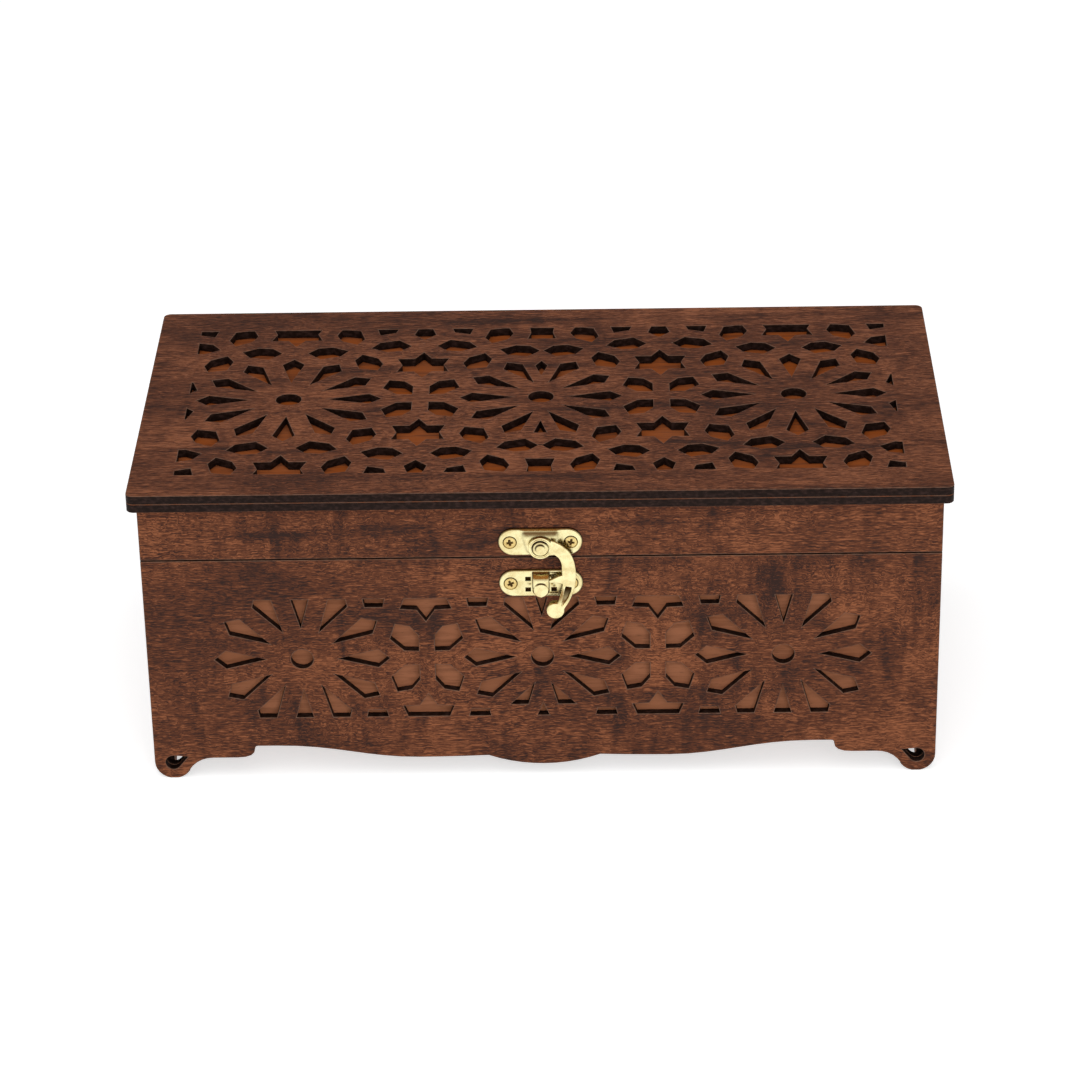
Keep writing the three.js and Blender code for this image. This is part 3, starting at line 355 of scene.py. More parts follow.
def stained_plywood(name, face_axis, grain_axis, wood, shift, curl, smudge, streak):
    """Dark stained veneer: wavy fibres, patches of thin stain, and smudges where it stayed thick.

    Curl, smudge and streak say how strong the waves, the smudges across the grain and the dark
    streaks along it are.
    """
    finish = Finish(name)
    place = finish.millimetres(grain_axis, shift)
    wave = finish.noise(place, (0.16, 0.11, 0.11), 2.0, 0.5)
    figure = finish.noise(place, (0.012, 0.02, 0.02), 2.0, 0.5)
    curly = finish.band(figure, 0.42, 0.58, 0.35 * curl, 1.3 * curl)
    bend = finish.math("MULTIPLY", finish.math("SUBTRACT", wave, 0.5), 12)
    bend = finish.math("MULTIPLY", bend, curly)
    offset = finish.add("ShaderNodeCombineXYZ")
    finish.fill(offset, Y=bend, Z=bend)
    bent = finish.vector_math("ADD", place, offset.outputs[0])

    fibre = finish.noise(bent, (0.19, 2.0, 2.0), 3.0, 0.65)
    hair = finish.noise(bent, (0.4, 4.0, 4.0), 2.0, 0.6)
    patch = finish.noise(place, (0.018, 0.03, 0.03), 5.0, 0.62, 0.3)
    ripple = finish.noise(bent, (0.3, 0.06, 0.06), 2.0, 0.5)
    across = finish.noise(place, (0.11, 0.032, 0.032), 3.0, 0.55, 0.4)
    along = finish.noise(place, (0.012, 0.1, 0.1), 4.0, 0.6, 0.3)

    tone = finish.math("SUBTRACT", finish.math("MULTIPLY", fibre, 1.7), 0.3)
    for layer, weight in ((hair, 1.5), (patch, 1.3), (ripple, curly)):
        part = finish.math("MULTIPLY", finish.math("SUBTRACT", layer, 0.5), weight)
        tone = finish.math("ADD", tone, part)
    for layer, weight in ((across, smudge), (along, streak)):
        tone = finish.math("SUBTRACT", tone, finish.band(layer, 0.52, 0.76, 0.0, weight))

    colour = finish.mix(finish.band(tone, 0.1, 0.5), wood.deep_stain, wood.stain)
    colour = finish.mix(finish.band(tone, 0.5, 0.95), colour, wood.thin_stain)
    colour = edge_colours(finish, colour, face_axis, wood)
    dull = finish.band(tone, 0.1, 0.9, 0.7, 0.5)
    finish.fill(finish.shader, Base_Color=colour, Roughness=dull, Specular_IOR_Level=WOOD_SHEEN)
    finish.bump(finish.math("ADD", fibre, finish.math("MULTIPLY", hair, 0.7)), 0.5, 0.00016)
    return finish.material


def plain_plywood(name, face_axis, grain_axis, wood, colour, grain, roughness):
    """Lightly stained sheet with a soft grain. Grain says how strong it shows."""
    finish = Finish(name)
    place = finish.millimetres(grain_axis)
    cloud = finish.noise(place, (0.02, 0.05, 0.05), 4.0, 0.6, 0.5)
    fibre = finish.noise(place, (0.06, 1.1, 1.1), 4.0, 0.65, 0.3)
    pore = finish.noise(place, (0.25, 2.4, 2.4), 2.0, 0.6)
    streak = finish.noise(place, (0.05, 0.45, 0.45), 3.0, 0.6, 0.6)
    shade = finish.mix(finish.band(cloud, 0.4, 0.7, 0.0, 0.5), colour, wood.thin_stain)
    shade = finish.mix(finish.band(streak, 0.48, 0.66, 0.0, 0.6 * grain), shade, wood.stain)
    shade = finish.mix(finish.band(fibre, 0.45, 0.65, 0.0, 0.4 * grain), shade, wood.stain)
    shade = finish.mix(finish.band(pore, 0.64, 0.74, 0.0, 0.45), shade, wood.deep_stain)
    shade = edge_colours(finish, shade, face_axis, wood)
    dull = finish.band(cloud, 0.3, 0.7, roughness, roughness + 0.15)
    finish.fill(finish.shader, Base_Color=shade, Roughness=dull, Specular_IOR_Level=WOOD_SHEEN)
    finish.bump(fibre, 0.25, 0.00006)
    return finish.material


def polished_brass(name, colour, deep_colour, tarnish_and_shade, roughness):
    """Bright brass with a faint waviness, and tarnish and painted shade where a piece's marks say
    so.
    """
    finish = Finish(name)
    place = finish.millimetres()
    wave = finish.noise(place, (0.35, 0.35, 0.35), 2.0, 0.5)
    scratch = finish.noise(place, (3.0, 3.0, 0.5), 3.0, 0.6)
    cloud = finish.noise(place, (0.3, 0.3, 0.3), 5.0, 0.65)
    # Marks of tarnish and painted shade, darkening the brass
    shade_and_tarnish_mark = finish.add("ShaderNodeAttribute", attribute_name="shade_and_tarnish_mark").outputs["Fac"]
    shade = finish.mix(finish.band(cloud, 0.38, 0.68, 0.0, 0.5), colour, deep_colour)
    finish.fill(finish.shader, Base_Color=finish.mix(shade_and_tarnish_mark, shade, tarnish_and_shade), Metallic=1.0)
    polish = finish.band(scratch, 0.3, 0.75, roughness, roughness + 0.14)
    dull = finish.math("MULTIPLY", shade_and_tarnish_mark, 0.4)
    finish.fill(finish.shader, Roughness=finish.math("ADD", polish, dull))
    finish.bump(finish.math("ADD", wave, finish.math("MULTIPLY", scratch, 0.03)), 0.35, 0.0002)
    return finish.material


def material(name, maker, *details):
    """The material of that name, made when it is first asked for."""
    return bpy.data.materials.get(name) or maker(name, *details)


def sheet_material(wood, face_axis, grain_axis, look):
    """Material of a sheet, by where in the box it is used."""
    if look == "backing":
        return material("orange_backing", plain_plywood, "Z", "X", wood, wood.backing, 1.0, 0.45)
    name = f"{look}_wood_{face_axis.lower()}"
    if look == "lining":
        return material(name, plain_plywood, face_axis, grain_axis, wood, wood.lining, 0.5, 0.5)
    shift, curl, smudge, streak = {
        "lid": ((31.0, 12.0, 0.0), 0.15, 0.15, 0.5),
        "rail": ((140.0, 55.0, 21.0), 0.3, 0.35, 0.5),
        "wall": ((8.0, 90.0, 61.0), 0.5, 0.38, 0.2),
        "side": ((220.0, 15.0, 37.0), 0.35, 0.3, 0.25),
    }[look]
    return material(
        name, stained_plywood, face_axis, grain_axis, wood, shift, curl, smudge, streak
    )


def new_mesh(name, form):
    """A mesh from a bmesh, which is used up."""
    mesh = bpy.data.meshes.new(name)
    form.to_mesh(mesh)
    form.free()
    return mesh


def new_object(name, data):
    """An object in the scene."""
    made = bpy.data.objects.new(name, data)
    bpy.context.scene.collection.objects.link(made)
    return made


def add_piece(name, form, body, nodes, finish, sharp=35.0):
    """Turn a bmesh into a piece that rides on a body and stands for solid parts.

    Edges sharper than the given angle stay sharp.
    """
    bmesh.ops.remove_doubles(form, verts=form.verts, dist=MERGE)
    bmesh.ops.recalc_face_normals(form, faces=form.faces)
    mesh = new_mesh(name, form)
    mesh.materials.append(finish)
    mesh.shade_smooth()
    mesh.set_sharp_from_angle(angle=math.radians(sharp))
    piece = new_object(name, mesh)
    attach(piece, body)
    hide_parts(*nodes)
    return piece


def add_fitting(name, form, body, node, look="polished_brass"):
    """A piece of polished brass, or of the duller plating of the screws and pins."""
    looks = bpy.context.scene.serving_box_brass
    slot, colour, roughness = {
        "polished_brass": ("brass", looks.brass, 0.16),
        "plated_screw": ("screw_brass", looks.screw, 0.24),
    }[look]
    finish = material(look, polished_brass, colour, looks.deep_brass, looks.tarnish_and_shade, roughness)
    return add_piece(name, form, body, [node], finish)


def inset_step(vert, rims, axis, width):
    """Step from a vertex of an outline into the sheet's face, by the sides that meet there."""
    sides = [edge.link_faces[0].normal for edge in vert.link_edges if edge in rims]
    lean = sides[0] + sides[-1]
    step = lean * -width / (1 + sides[0].dot(sides[-1]) + MERGE)
    step[axis] = 0.0
    if step.length > MITRE * width:
        step = step.normalized() * MITRE * width
    return step


def rub_corners(form, axis, chamfer, line, marks):
    """Chamfer the rims of a sheet's two faces and of their holes, and mark a line along them."""
    heights = [vert.co[axis] for vert in form.verts]
    for level, inward in ((max(heights), -chamfer), (min(heights), chamfer)):
        on_face = {vert for vert in form.verts if abs(vert.co[axis] - level) < MERGE}
        cap = [face for face in form.faces if on_face.issuperset(face.verts)]
        bmesh.ops.delete(form, geom=cap, context="FACES")
        form.normal_update()
        rims = {edge for edge in form.edges if edge.is_boundary and on_face.issuperset(edge.verts)}
        outline = {vert for edge in rims for vert in edge.verts}
        steps = {vert: inset_step(vert, rims, axis, 1.0) for vert in outline}
        rings = {}
        for vert, step in steps.items():
            rings[vert] = [vert]
            for inset in (chamfer, chamfer + line):
                rings[vert].append(form.verts.new(vert.co + step * inset))
            for made, mark in zip(rings[vert], (1.0, 1.0, 0.0)):
                made[marks] = mark
        inner = []
        for edge in rims:
            first, second = (rings[vert] for vert in edge.verts)
            for a, b, c, d in zip(first, second, second[1:], first[1:]):
                form.faces.new((a, b, c, d))
            inner.append(form.edges.get((first[-1], second[-1])))
        bmesh.ops.triangle_fill(form, use_beauty=True, use_dissolve=False, edges=inner)
        for vert in outline:
            vert.co[axis] = level + inward


def add_sheet(node, body, face_axis, grain_axis, look):
    """A sheet of plywood: the solid part's own outline, with rubbed corners."""
    wood = bpy.context.scene.serving_box_wood
    form = bmesh.new()
    form.from_mesh(frame["nodes"][node].data)
    bmesh.ops.remove_doubles(form, verts=form.verts, dist=MERGE)
    marks = form.verts.layers.float.new("rim")
    rub_corners(form, "XYZ".index(face_axis), wood.chamfer, wood.edge_line, marks)
    finish = sheet_material(wood, face_axis, grain_axis, look)
    return add_piece(f"{node}_sheet", form, body, [node], finish, sharp=30.0)


def front_point(x, z, out):
    """A point in front of the front wall, from millimetres."""
    return Vector((x * MM, FRONT_FACE - out * MM, z * MM))


def back_point(x, z, out):
    """A point behind the back wall, from millimetres, as seen from behind."""
    return Vector((-x * MM, BACK_FACE + out * MM, z * MM))


def smooth_step(value, low, high):
    share = min(max((value - low) / (high - low), 0.0), 1.0)
    return share * share * (3 - 2 * share)


def curve(t, p, q, r, s):
    """Smooth curve from q to r, as t goes from 0 to 1, with p before and s after them."""
    square = (2 * p - 5 * q + 4 * r - s) * t**2
    cube = (3 * q - p - 3 * r + s) * t**3
    return (2 * q + (r - p) * t + square + cube) / 2


def through(points, steps):
    """Points on a smooth curve through the given ones, each with as many numbers as they have."""
    ends = [points[0], *points, points[-1]]
    found = []
    for index in range(len(points) - 1):
        near = ends[index : index + 4]
        for step in range(steps):
            found.append([curve(step / steps, *numbers) for numbers in zip(*near)])
    found.append(list(points[-1]))
    return found


def add_grid(form, rows):
    """Join closed rows of points with faces."""
    rings = [[form.verts.new(point) for point in row] for row in rows]
    for first, second in zip(rings, rings[1:]):
        for index in range(len(first)):
            after = (index + 1) % len(first)
            form.faces.new((first[index], first[after], second[after], second[index]))
    return rings


def around(sides):
    """Angles of a full turn."""
    return [2 * math.pi * side / sides for side in range(sides)]


def add_bar(form, rows):
    """Join closed rows of points with faces, and close both ends."""
    rings = add_grid(form, rows)
    form.faces.new(rings[0])
    form.faces.new(rings[-1])


def add_turned(form, profile, x, z, point):
    """A turned shape whose axis stands out of the wall, from radii and heights."""
    rows = []
    for radius, out in profile:
        places = [(x + radius * math.cos(a), z + radius * math.sin(a)) for a in around(48)]
        rows.append([point(*place, out) for place in places])
    rings = add_grid(form, rows)
    for end in (0, -1):
        if profile[end][0] > 0:
            form.faces.new(rings[end])


def stadium(length, height, arc_steps, side_steps):
    """Outline of a stadium, each point with the point of the middle line that it faces."""
    radius = height / 2
    reach = length / 2 - radius
    found = []
    for side in (1, -1):
        for step in range(arc_steps):
            angle = math.pi * (step / arc_steps - 0.5) + (0 if side > 0 else math.pi)
            x, y = radius * math.cos(angle), radius * math.sin(angle)
            found.append((side * reach + x, y, side * reach))
        for step in range(side_steps):
            x = side * reach * (1 - 2 * step / side_steps)
            found.append((x, side * radius, x))
    return found


def add_stamped_plate(form, centre_z, level):
    """A stamped plate: a stadium whose face has the height that level gives."""
    radius = PLATE_HEIGHT / 2
    outline = stadium(PLATE_LENGTH, PLATE_HEIGHT, 28, 64)
    insets = [0.0, 0.02, 0.06, 0.12, 0.2, 0.3, 0.42, 0.56, 0.7, 0.8, 0.9, 1.0, 1.15, 1.3, 1.45]
    insets += [radius * share for share in (0.38, 0.46, 0.54, 0.62, 0.7, 0.78, 0.86, 0.94, 1.0)]
    rows = [[front_point(x, centre_z + y, PLATE_SEAT) for x, y, foot in outline]]
    for inset in insets:
        share = inset / radius
        row = []
        for x, y, foot in outline:
            px, py = x + (foot - x) * share, y * (1 - share)
            row.append(front_point(px, centre_z + py, level(px, py, inset)))
        rows.append(row)
    rings = add_grid(form, rows)
    form.faces.new(rings[0])


def plate_level(inset, roll, rise=0.0):
    """Height of a stamped plate's face: a rolled edge, and a pressed line along it."""
    edge = min(inset / roll, 1.0)
    profile = math.sqrt(max(1 - (1 - edge) ** 2, 0.0))
    line = 0.05 * math.exp(-(((inset - 1.15) / 0.25) ** 2))
    top = PLATE_FACE - PLATE_SEAT
    return PLATE_SEAT + top * max(profile, 0.2) + rise - line


def mark_shade_and_tarnish(piece, share):
    """Store how much tarnish and painted shade each vertex gets."""
    marks = piece.data.attributes.new("shade_and_tarnish_mark", "FLOAT", "POINT")
    for vertex, mark in zip(piece.data.vertices, marks.data):
        mark.value = share(vertex.co)


def mark_plate(piece, centre_z):
    """Painted shade at the foot of the edge and in the openings, with some tarnish there, and,
    fainter, painted reflections of the dark surroundings on its rim, the top of the boss and its
    slopes.
    """

    def plate_painted_shade(co):
        out = (FRONT_FACE - co.y) / MM
        past = max(abs(co.x) / MM - (PLATE_LENGTH - PLATE_HEIGHT) / 2, 0.0)
        inset = PLATE_HEIGHT / 2 - math.hypot(past, co.z / MM - centre_z)
        # Painted reflections: a dark rim, the top of the boss darker towards the lid, and a darker
        # band on its slopes
        rim = 0.6 * (1 - smooth_step(inset, 0.15, 0.6))
        on_boss = smooth_step(out, PLATE_FACE + 0.1, PLATE_FACE + 0.4)
        top = smooth_step(co.z / MM - centre_z, 1.4, 3.8)
        slope = math.exp(-(((out - PLATE_FACE - 0.35) / 0.25) ** 2))
        return max(1 - smooth_step(out, 0.45, 0.95), rim, 0.6 * on_boss * top, 0.25 * slope)

    mark_shade_and_tarnish(piece, plate_painted_shade)


def add_block(form, low, high):
    made = bmesh.ops.create_cube(form, size=1.0)["verts"]
    bmesh.ops.scale(form, vec=[abs(part) for part in high - low], verts=made)
    bmesh.ops.translate(form, vec=(low + high) / 2, verts=made)


def add_seats(form, centre_z):
    """Conical seats for the two screws of a plate."""
    profile = [(2.0, PLATE_FACE - SEAT_DEPTH), (2.45, PLATE_FACE + 0.1)]
    for side in (1, -1):
        add_turned(form, profile, side * SCREW_X, centre_z, front_point)


def cut_away(piece, form, name):
    """Cut a shape out of a piece."""
    bmesh.ops.recalc_face_normals(form, faces=form.faces)
    mesh = new_mesh(name, form)
    tool = new_object(name, mesh)
    cut = piece.modifiers.new(name, "BOOLEAN")
    cut.operation = "DIFFERENCE"
    cut.solver = "EXACT"
    cut.object = tool
    bpy.context.view_layer.update()
    bpy.context.view_layer.objects.active = piece
    with bpy.context.temp_override(object=piece, active_object=piece):
        bpy.ops.object.modifier_apply(modifier=name)
    bpy.data.objects.remove(tool)
    bpy.data.meshes.remove(mesh)


def add_plate(node, body, centre_z, level, windows=()):
    """A stamped plate with seats for its screws and windows, given by their corners."""
    form = bmesh.new()
    add_stamped_plate(form, centre_z, level)
    piece = add_fitting(f"stamped_{node}", form, body, node)
    openings = bmesh.new()
    add_seats(openings, centre_z)
    for low, high in windows:
        add_block(openings, low, high)
    cut_away(piece, openings, f"{node}_openings")
    mark_plate(piece, centre_z)


class SERVING_BOX_OT_stage(bpy.types.Operator):
    """Make the floor, the lamps, the room light and the camera"""

    bl_idname = "serving_box.stage"
    bl_label = "Studio"

    CEILING = (0.62, 0.43, 0.25)
    FLOOR_RADIUS = 6.0
    FLOOR_GLOW = 0.6

    def execute(self, context):
        scene = context.scene
        studio = scene.serving_box_studio
        self.add_floor()
        self.add_room(scene, studio.sky)
        self.add_lamp("key_lamp", (-0.15, -0.55, 1.5), 2.2, studio.key_power)
        self.add_lamp("fill_lamp", (0.35, -1.7, 0.55), 1.6, studio.fill_power)
        self.add_camera(scene, studio)
        scene.view_settings.view_transform = "Standard"
        return {"FINISHED"}

    def add_floor(self):
        """A wide pale floor, with a glow for the camera that leaves the box's shadow."""
        form = bmesh.new()
        bmesh.ops.create_circle(form, cap_ends=True, segments=64, radius=self.FLOOR_RADIUS)
        mesh = new_mesh("floor", form)
        floor = new_object("floor", mesh)
        paint = Finish("floor_paint")
        glow = paint.math("MULTIPLY", paint.seen(), self.FLOOR_GLOW)
        paint.fill(paint.shader, Base_Color=(0.86, 0.86, 0.86, 1), Roughness=1.0)
        paint.fill(paint.shader, Emission_Color=(1, 1, 1, 1), Emission_Strength=glow)
        paint.fill(paint.shader, Specular_IOR_Level=0.0)
        mesh.materials.append(paint.material)

    def add_room(self, scene, strength):
        """White walls that also show in metal, and a brown ceiling."""
        world = bpy.data.worlds.new("studio_room")
        scene.world = world
        world.use_nodes = True
        room = Nodes(world.node_tree)
        light = room.tree.nodes["Background"]
        way = room.add("ShaderNodeSeparateXYZ")
        room.feed(way.inputs[0], room.add("ShaderNodeTexCoord").outputs["Generated"])
        shown = room.seen()
        brown = room.math("MULTIPLY", room.band(way.outputs["Z"], 0.05, 0.6), shown)
        room.fill(light, Color=room.mix(brown, (1.0, 1.0, 1.0), self.CEILING))
        room.fill(light, Strength=room.band(shown, 0.0, 1.0, strength, 1.0))

    def add_lamp(self, name, place, size, power):
        lamp = bpy.data.lights.new(name, "AREA")
        lamp.shape = "DISK"
        lamp.size = size
        lamp.energy = power
        holder = new_object(name, lamp)
        holder.location = place
        holder.visible_glossy = False
        aim = Vector((0.0, 0.0, 0.05)) - Vector(place)
        holder.rotation_euler = aim.to_track_quat("-Z", "Y").to_euler()

    def add_camera(self, scene, studio):
        data = bpy.data.cameras.new("camera")
        data.sensor_width = 36.0
        data.lens = studio.lens
        data.clip_end = 50.0
        camera = new_object("camera", data)
        ahead = Vector((math.sin(studio.yaw), math.cos(studio.yaw), -math.tan(studio.pitch)))
        ahead.normalize()
        right = Vector((math.cos(studio.yaw), -math.sin(studio.yaw), 0.0))
        up = right.cross(ahead)
        side = right * math.cos(studio.roll) + up * math.sin(studio.roll)
        top = up * math.cos(studio.roll) - right * math.sin(studio.roll)
        turn = Matrix((side, top, -ahead)).transposed().to_4x4()
        camera.matrix_world = Matrix.Translation(studio.camera_place) @ turn
        scene.camera = camera


class SERVING_BOX_OT_pierced_lid(bpy.types.Operator):
    """Make the pierced top sheet and the backing that shows through it"""

    bl_idname = "serving_box.pierced_lid"
    bl_label = "Pierced lid"

    def execute(self, context):
        for sheet in PIERCED_SHEETS:
            add_sheet(*sheet)
        return {"FINISHED"}


class SERVING_BOX_OT_lid_rim(bpy.types.Operator):
    """Make the rails under the lid and the sheets that line them"""

    bl_idname = "serving_box.lid_rim"
    bl_label = "Lid rim"

    def execute(self, context):
        for sheet in RIM_SHEETS:
            add_sheet(*sheet)
        return {"FINISHED"}


class SERVING_BOX_OT_walls(bpy.types.Operator):
    """Make the four walls with their feet and scalloped skirts"""

    bl_idname = "serving_box.walls"
    bl_label = "Walls"

    def execute(self, context):
        for sheet in WALL_SHEETS:
            add_sheet(*sheet)
        return {"FINISHED"}


class SERVING_BOX_OT_inside(bpy.types.Operator):
    """Make the linings, the floor and the slotted dividers"""

    bl_idname = "serving_box.inside"
    bl_label = "Inside"

    def execute(self, context):
        for sheet in INNER_SHEETS:
            add_sheet(*sheet)
        return {"FINISHED"}


class SERVING_BOX_OT_latch_plate(bpy.types.Operator):
    """Make the upper plate of the latch, pressed forward in the middle"""

    bl_idname = "serving_box.latch_plate"
    bl_label = "Latch plate"

    def execute(self, context):
        roll = context.scene.serving_box_brass.edge_roll / MM

        def level(x, y, inset):
            boss = 1 - smooth_step(abs(x) - 0.25 * y, 4.0, 6.2)
            dome = smooth_step(inset, 0.0, 2.8)
            return plate_level(inset, roll, (BOSS_FACE - PLATE_FACE) * boss * dome)

        add_plate("latch_plate", "lid", middle("latch_plate").z, level)
        return {"FINISHED"}


class SERVING_BOX_OT_catch_plate(bpy.types.Operator):
    """Make the lower plate with its windows and the tongue that the hook reaches behind"""

    bl_idname = "serving_box.catch_plate"
    bl_label = "Catch plate"

    WINDOWS = [(side * 4.3, rise) for side in (1, -1) for rise in (1.7, -2.3)]
    WINDOW_HALF = (0.95, 0.8)
    DIMPLES = [(4.2, -0.3), (-4.2, -0.3)]
    TONGUE_PATH = [
        (0.9, 4.2), (1.5, 4.38), (2.3, 4.3), (3.1, 3.9), (3.75, 3.25), (4.1, 2.5),
        (4.25, 1.7), (4.3, 0.8), (4.35, -0.9),
    ]
    TONGUE_HALF = 2.9
    TONGUE_PLY = 0.75
    BUTTON_Z = -1.0
    BUTTON_RADIUS = 2.5
    BUTTON_RISE = 0.42

    def execute(self, context):
        centre_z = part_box("catch_plate")[0].z / MM + PLATE_HEIGHT / 2
        roll = context.scene.serving_box_brass.edge_roll / MM

        def level(x, y, inset):
            away = min(math.hypot(x - px, y - py) for px, py in self.DIMPLES)
            return plate_level(inset, roll, 0.3 * math.exp(-((away / 0.5) ** 2)))

        half_x, half_z = self.WINDOW_HALF
        windows = []
        for x, rise in self.WINDOWS:
            near = front_point(x - half_x, centre_z + rise - half_z, 3.0)
            far = front_point(x + half_x, centre_z + rise + half_z, PLATE_SEAT + 0.1)
            windows.append((near, far))
        add_plate("catch_plate", "box", centre_z, level, windows)
        self.add_tongue(centre_z)
        return {"FINISHED"}

    def add_tongue(self, centre_z):
        """A bent strip with a round end and a raised button, with painted shade along its upper
        sides and over the top of the button.
        """
        path = through(self.TONGUE_PATH, 8)
        bottom_out, bottom = path[-1]
        ends = [(out, rise, self.TONGUE_HALF) for out, rise in path]
        for step in range(1, 25):
            angle = math.pi / 2 * step / 24
            fall = self.TONGUE_HALF * math.sin(angle)
            out = bottom_out - 0.35 * (fall / self.TONGUE_HALF) ** 2
            ends.append((out, bottom - fall, self.TONGUE_HALF * math.cos(angle)))
        columns = 40
        rows = []
        for out, rise, half in ends:
            near, far = [], []
            for column in range(columns + 1):
                across = 2 * column / columns - 1
                past = math.hypot(half * across, rise - self.BUTTON_Z) - self.BUTTON_RADIUS
                button = 1 - smooth_step(past, -0.15, 0.15)
                face = out + self.BUTTON_RISE * button - 0.35 * across**2 - 0.35 * across**12
                near.append(front_point(half * across, centre_z + rise, face))
                back = max(out - self.TONGUE_PLY, PLATE_SEAT)
                far.append(front_point(half * across, centre_z + rise, back))
            rows.append(near + far[::-1])
        form = bmesh.new()
        rings = add_grid(form, rows)
        form.faces.new(rings[0])
        piece = add_fitting("catch_tongue", form, "box", "catch_plate")

        # Painted shade over the top of the button and along the upper sides of the strip
        def tongue_painted_shade(co):
            rise = co.z / MM - centre_z
            away = math.hypot(co.x / MM, rise - self.BUTTON_Z)
            beside = abs(co.x) / MM
            line = math.exp(-(((away - self.BUTTON_RADIUS - 0.1) / 0.22) ** 2))
            line *= (1 - smooth_step(beside, 1.0, 2.0)) * smooth_step(rise, 0.0, 0.5)
            rim = smooth_step(beside, self.TONGUE_HALF - 0.6, self.TONGUE_HALF - 0.1)
            return max(line, 0.8 * rim * smooth_step(rise, -1.5, 0.0))

        mark_shade_and_tarnish(piece, tongue_painted_shade)


class SERVING_BOX_OT_latch_hook(bpy.types.Operator):
    """Make the swinging hook with its eye, prong, grooved tail and knob, and the rivet"""

    bl_idname = "serving_box.latch_hook"
    bl_label = "Latch hook"

    # Middle of the arm from the rivet, and half its width
    ARM = [
        (3.1, 0.0, 2.9), (4.2, -0.2, 2.6), (5.8, -0.85, 2.2), (7.8, -2.75, 2.1),
        (8.95, -5.5, 2.15), (9.3, -8.4, 2.3), (9.35, -11.3, 2.3), (9.3, -13.8, 2.1),
        (8.95, -15.6, 2.0), (8.35, -17.3, 1.85), (7.6, -18.9, 1.7), (6.9, -20.1, 1.55),
        (6.1, -21.3, 1.65), (5.6, -22.0, 1.6),
    ]
    PRONG = [
        (9.0, -11.9, 1.8), (7.6, -11.9, 1.8), (6.3, -11.95, 1.5), (5.0, -12.15, 1.05),
        (3.6, -12.45, 0.7), (2.4, -12.75, 0.52), (1.5, -12.9, 0.42), (0.9, -12.95, 0.35),
    ]
    EYE_RADIUS = 4.0
    # Face of the eye from its rim inwards: radius, and how far it lies below the hook's face
    EYE_FACE = [(3.5, 0), (3.35, 0.1), (3.2, 0), (2.95, 0.02), (2.8, 0.35), (0.0, 0.35)]
    KNOB = (4.7, -22.5, 3.0)
    KNOB_THICKNESS = 2.4
    # Channel in the tail: height from the rivet, then middle and half width as shares of the arm's
    GROOVE = [
        (-14.5, 0.0, 0.5), (-15.2, 0.0, 0.56), (-17.6, 0.0, 0.52), (-19.3, 0.0, 0.3),
        (-20.5, 0.1, 0.14),
    ]
    GROOVE_DEPTH = 0.8
    # Radii of the rivet's steps, with painted shade on their upper side
    RIVET_STEPS = (2.6, 1.6)

    def execute(self, context):
        form = bmesh.new()
        self.add_arm(form, self.ARM, grooved=True)
        self.add_arm(form, self.PRONG, grooved=False)
        eye = self.rounded(self.EYE_RADIUS, 0.3, HOOK_BACK)
        eye += [(radius, HOOK_FACE - below) for radius, below in self.EYE_FACE]
        add_turned(form, eye, 0.0, HOOK_PIVOT_Z, front_point)
        x, drop, radius = self.KNOB
        disc = self.rounded(radius, 0.5, HOOK_FACE - self.KNOB_THICKNESS)
        disc += [(radius * 0.6, HOOK_FACE + 0.06), (radius * 0.3, HOOK_FACE + 0.09)]
        disc += [(0.0, HOOK_FACE + 0.1)]
        knob = [(r, out - 0.1 + FLARE) for r, out in disc]
        add_turned(form, knob, x, HOOK_PIVOT_Z + drop, front_point)
        piece = add_fitting("swing_hook", form, "hook", "latch_hook")
        mark_shade_and_tarnish(piece, self.hook_painted_shade)
        self.add_rivet()
        return {"FINISHED"}

    def lean(self, drop):
        share = (FLARE_START - drop) / (FLARE_START - FLARE_END)
        return FLARE * smooth_step(share, 0.0, 1.0)

    def rounded(self, radius, corner, back):
        """Profile of a disc's back and side, with a round front corner."""
        found = [(0.0, back), (radius - 0.2, back), (radius, back + 0.2)]
        for step in range(7):
            angle = math.pi / 2 * step / 6
            side = radius - corner + corner * math.cos(angle)
            found.append((side, HOOK_FACE - corner + corner * math.sin(angle)))
        return found

    def groove_depth(self, drop, across):
        """Depth of the channel in the tail, which narrows towards the knob."""
        start = self.GROOVE[0][0]
        for first, second in zip(self.GROOVE, self.GROOVE[1:]):
            if second[0] <= drop <= first[0]:
                share = (first[0] - drop) / (first[0] - second[0])
                centre, half = (a + (b - a) * share for a, b in zip(first[1:], second[1:]))
                channel = 1 - smooth_step(abs(across - centre), half * 0.75, half)
                end = 1 - smooth_step(drop, start - 0.3, start)
                shallow = 1 - 0.75 * smooth_step(-drop, 18.5, 20.5)
                return self.GROOVE_DEPTH * shallow * end * channel
        return 0.0

    def add_arm(self, form, stations, grooved):
        """A bar with round edges swept along the stations."""
        points = through(stations, 12)
        half_thick = (HOOK_FACE - HOOK_BACK) / 2
        rows = []
        for index, (x, drop, half) in enumerate(points):
            before = points[max(index - 1, 0)]
            after = points[min(index + 1, len(points) - 1)]
            along = Vector((after[0] - before[0], after[1] - before[1])).normalized()
            normal = Vector((-along.y, along.x))
            row = []
            for angle in around(96):
                c, s = math.cos(angle), math.sin(angle)
                across = math.copysign(abs(c) ** 0.85, c)
                up = math.copysign(abs(s) ** 0.4, s)
                px = x + normal.x * across * half
                pz = drop + normal.y * across * half
                out = HOOK_BACK + half_thick * (1 + up) + self.lean(drop)
                if grooved and s > 0:
                    out -= self.groove_depth(drop, across)
                row.append(front_point(px, HOOK_PIVOT_Z + pz, out))
            rows.append(row)
        add_bar(form, rows)

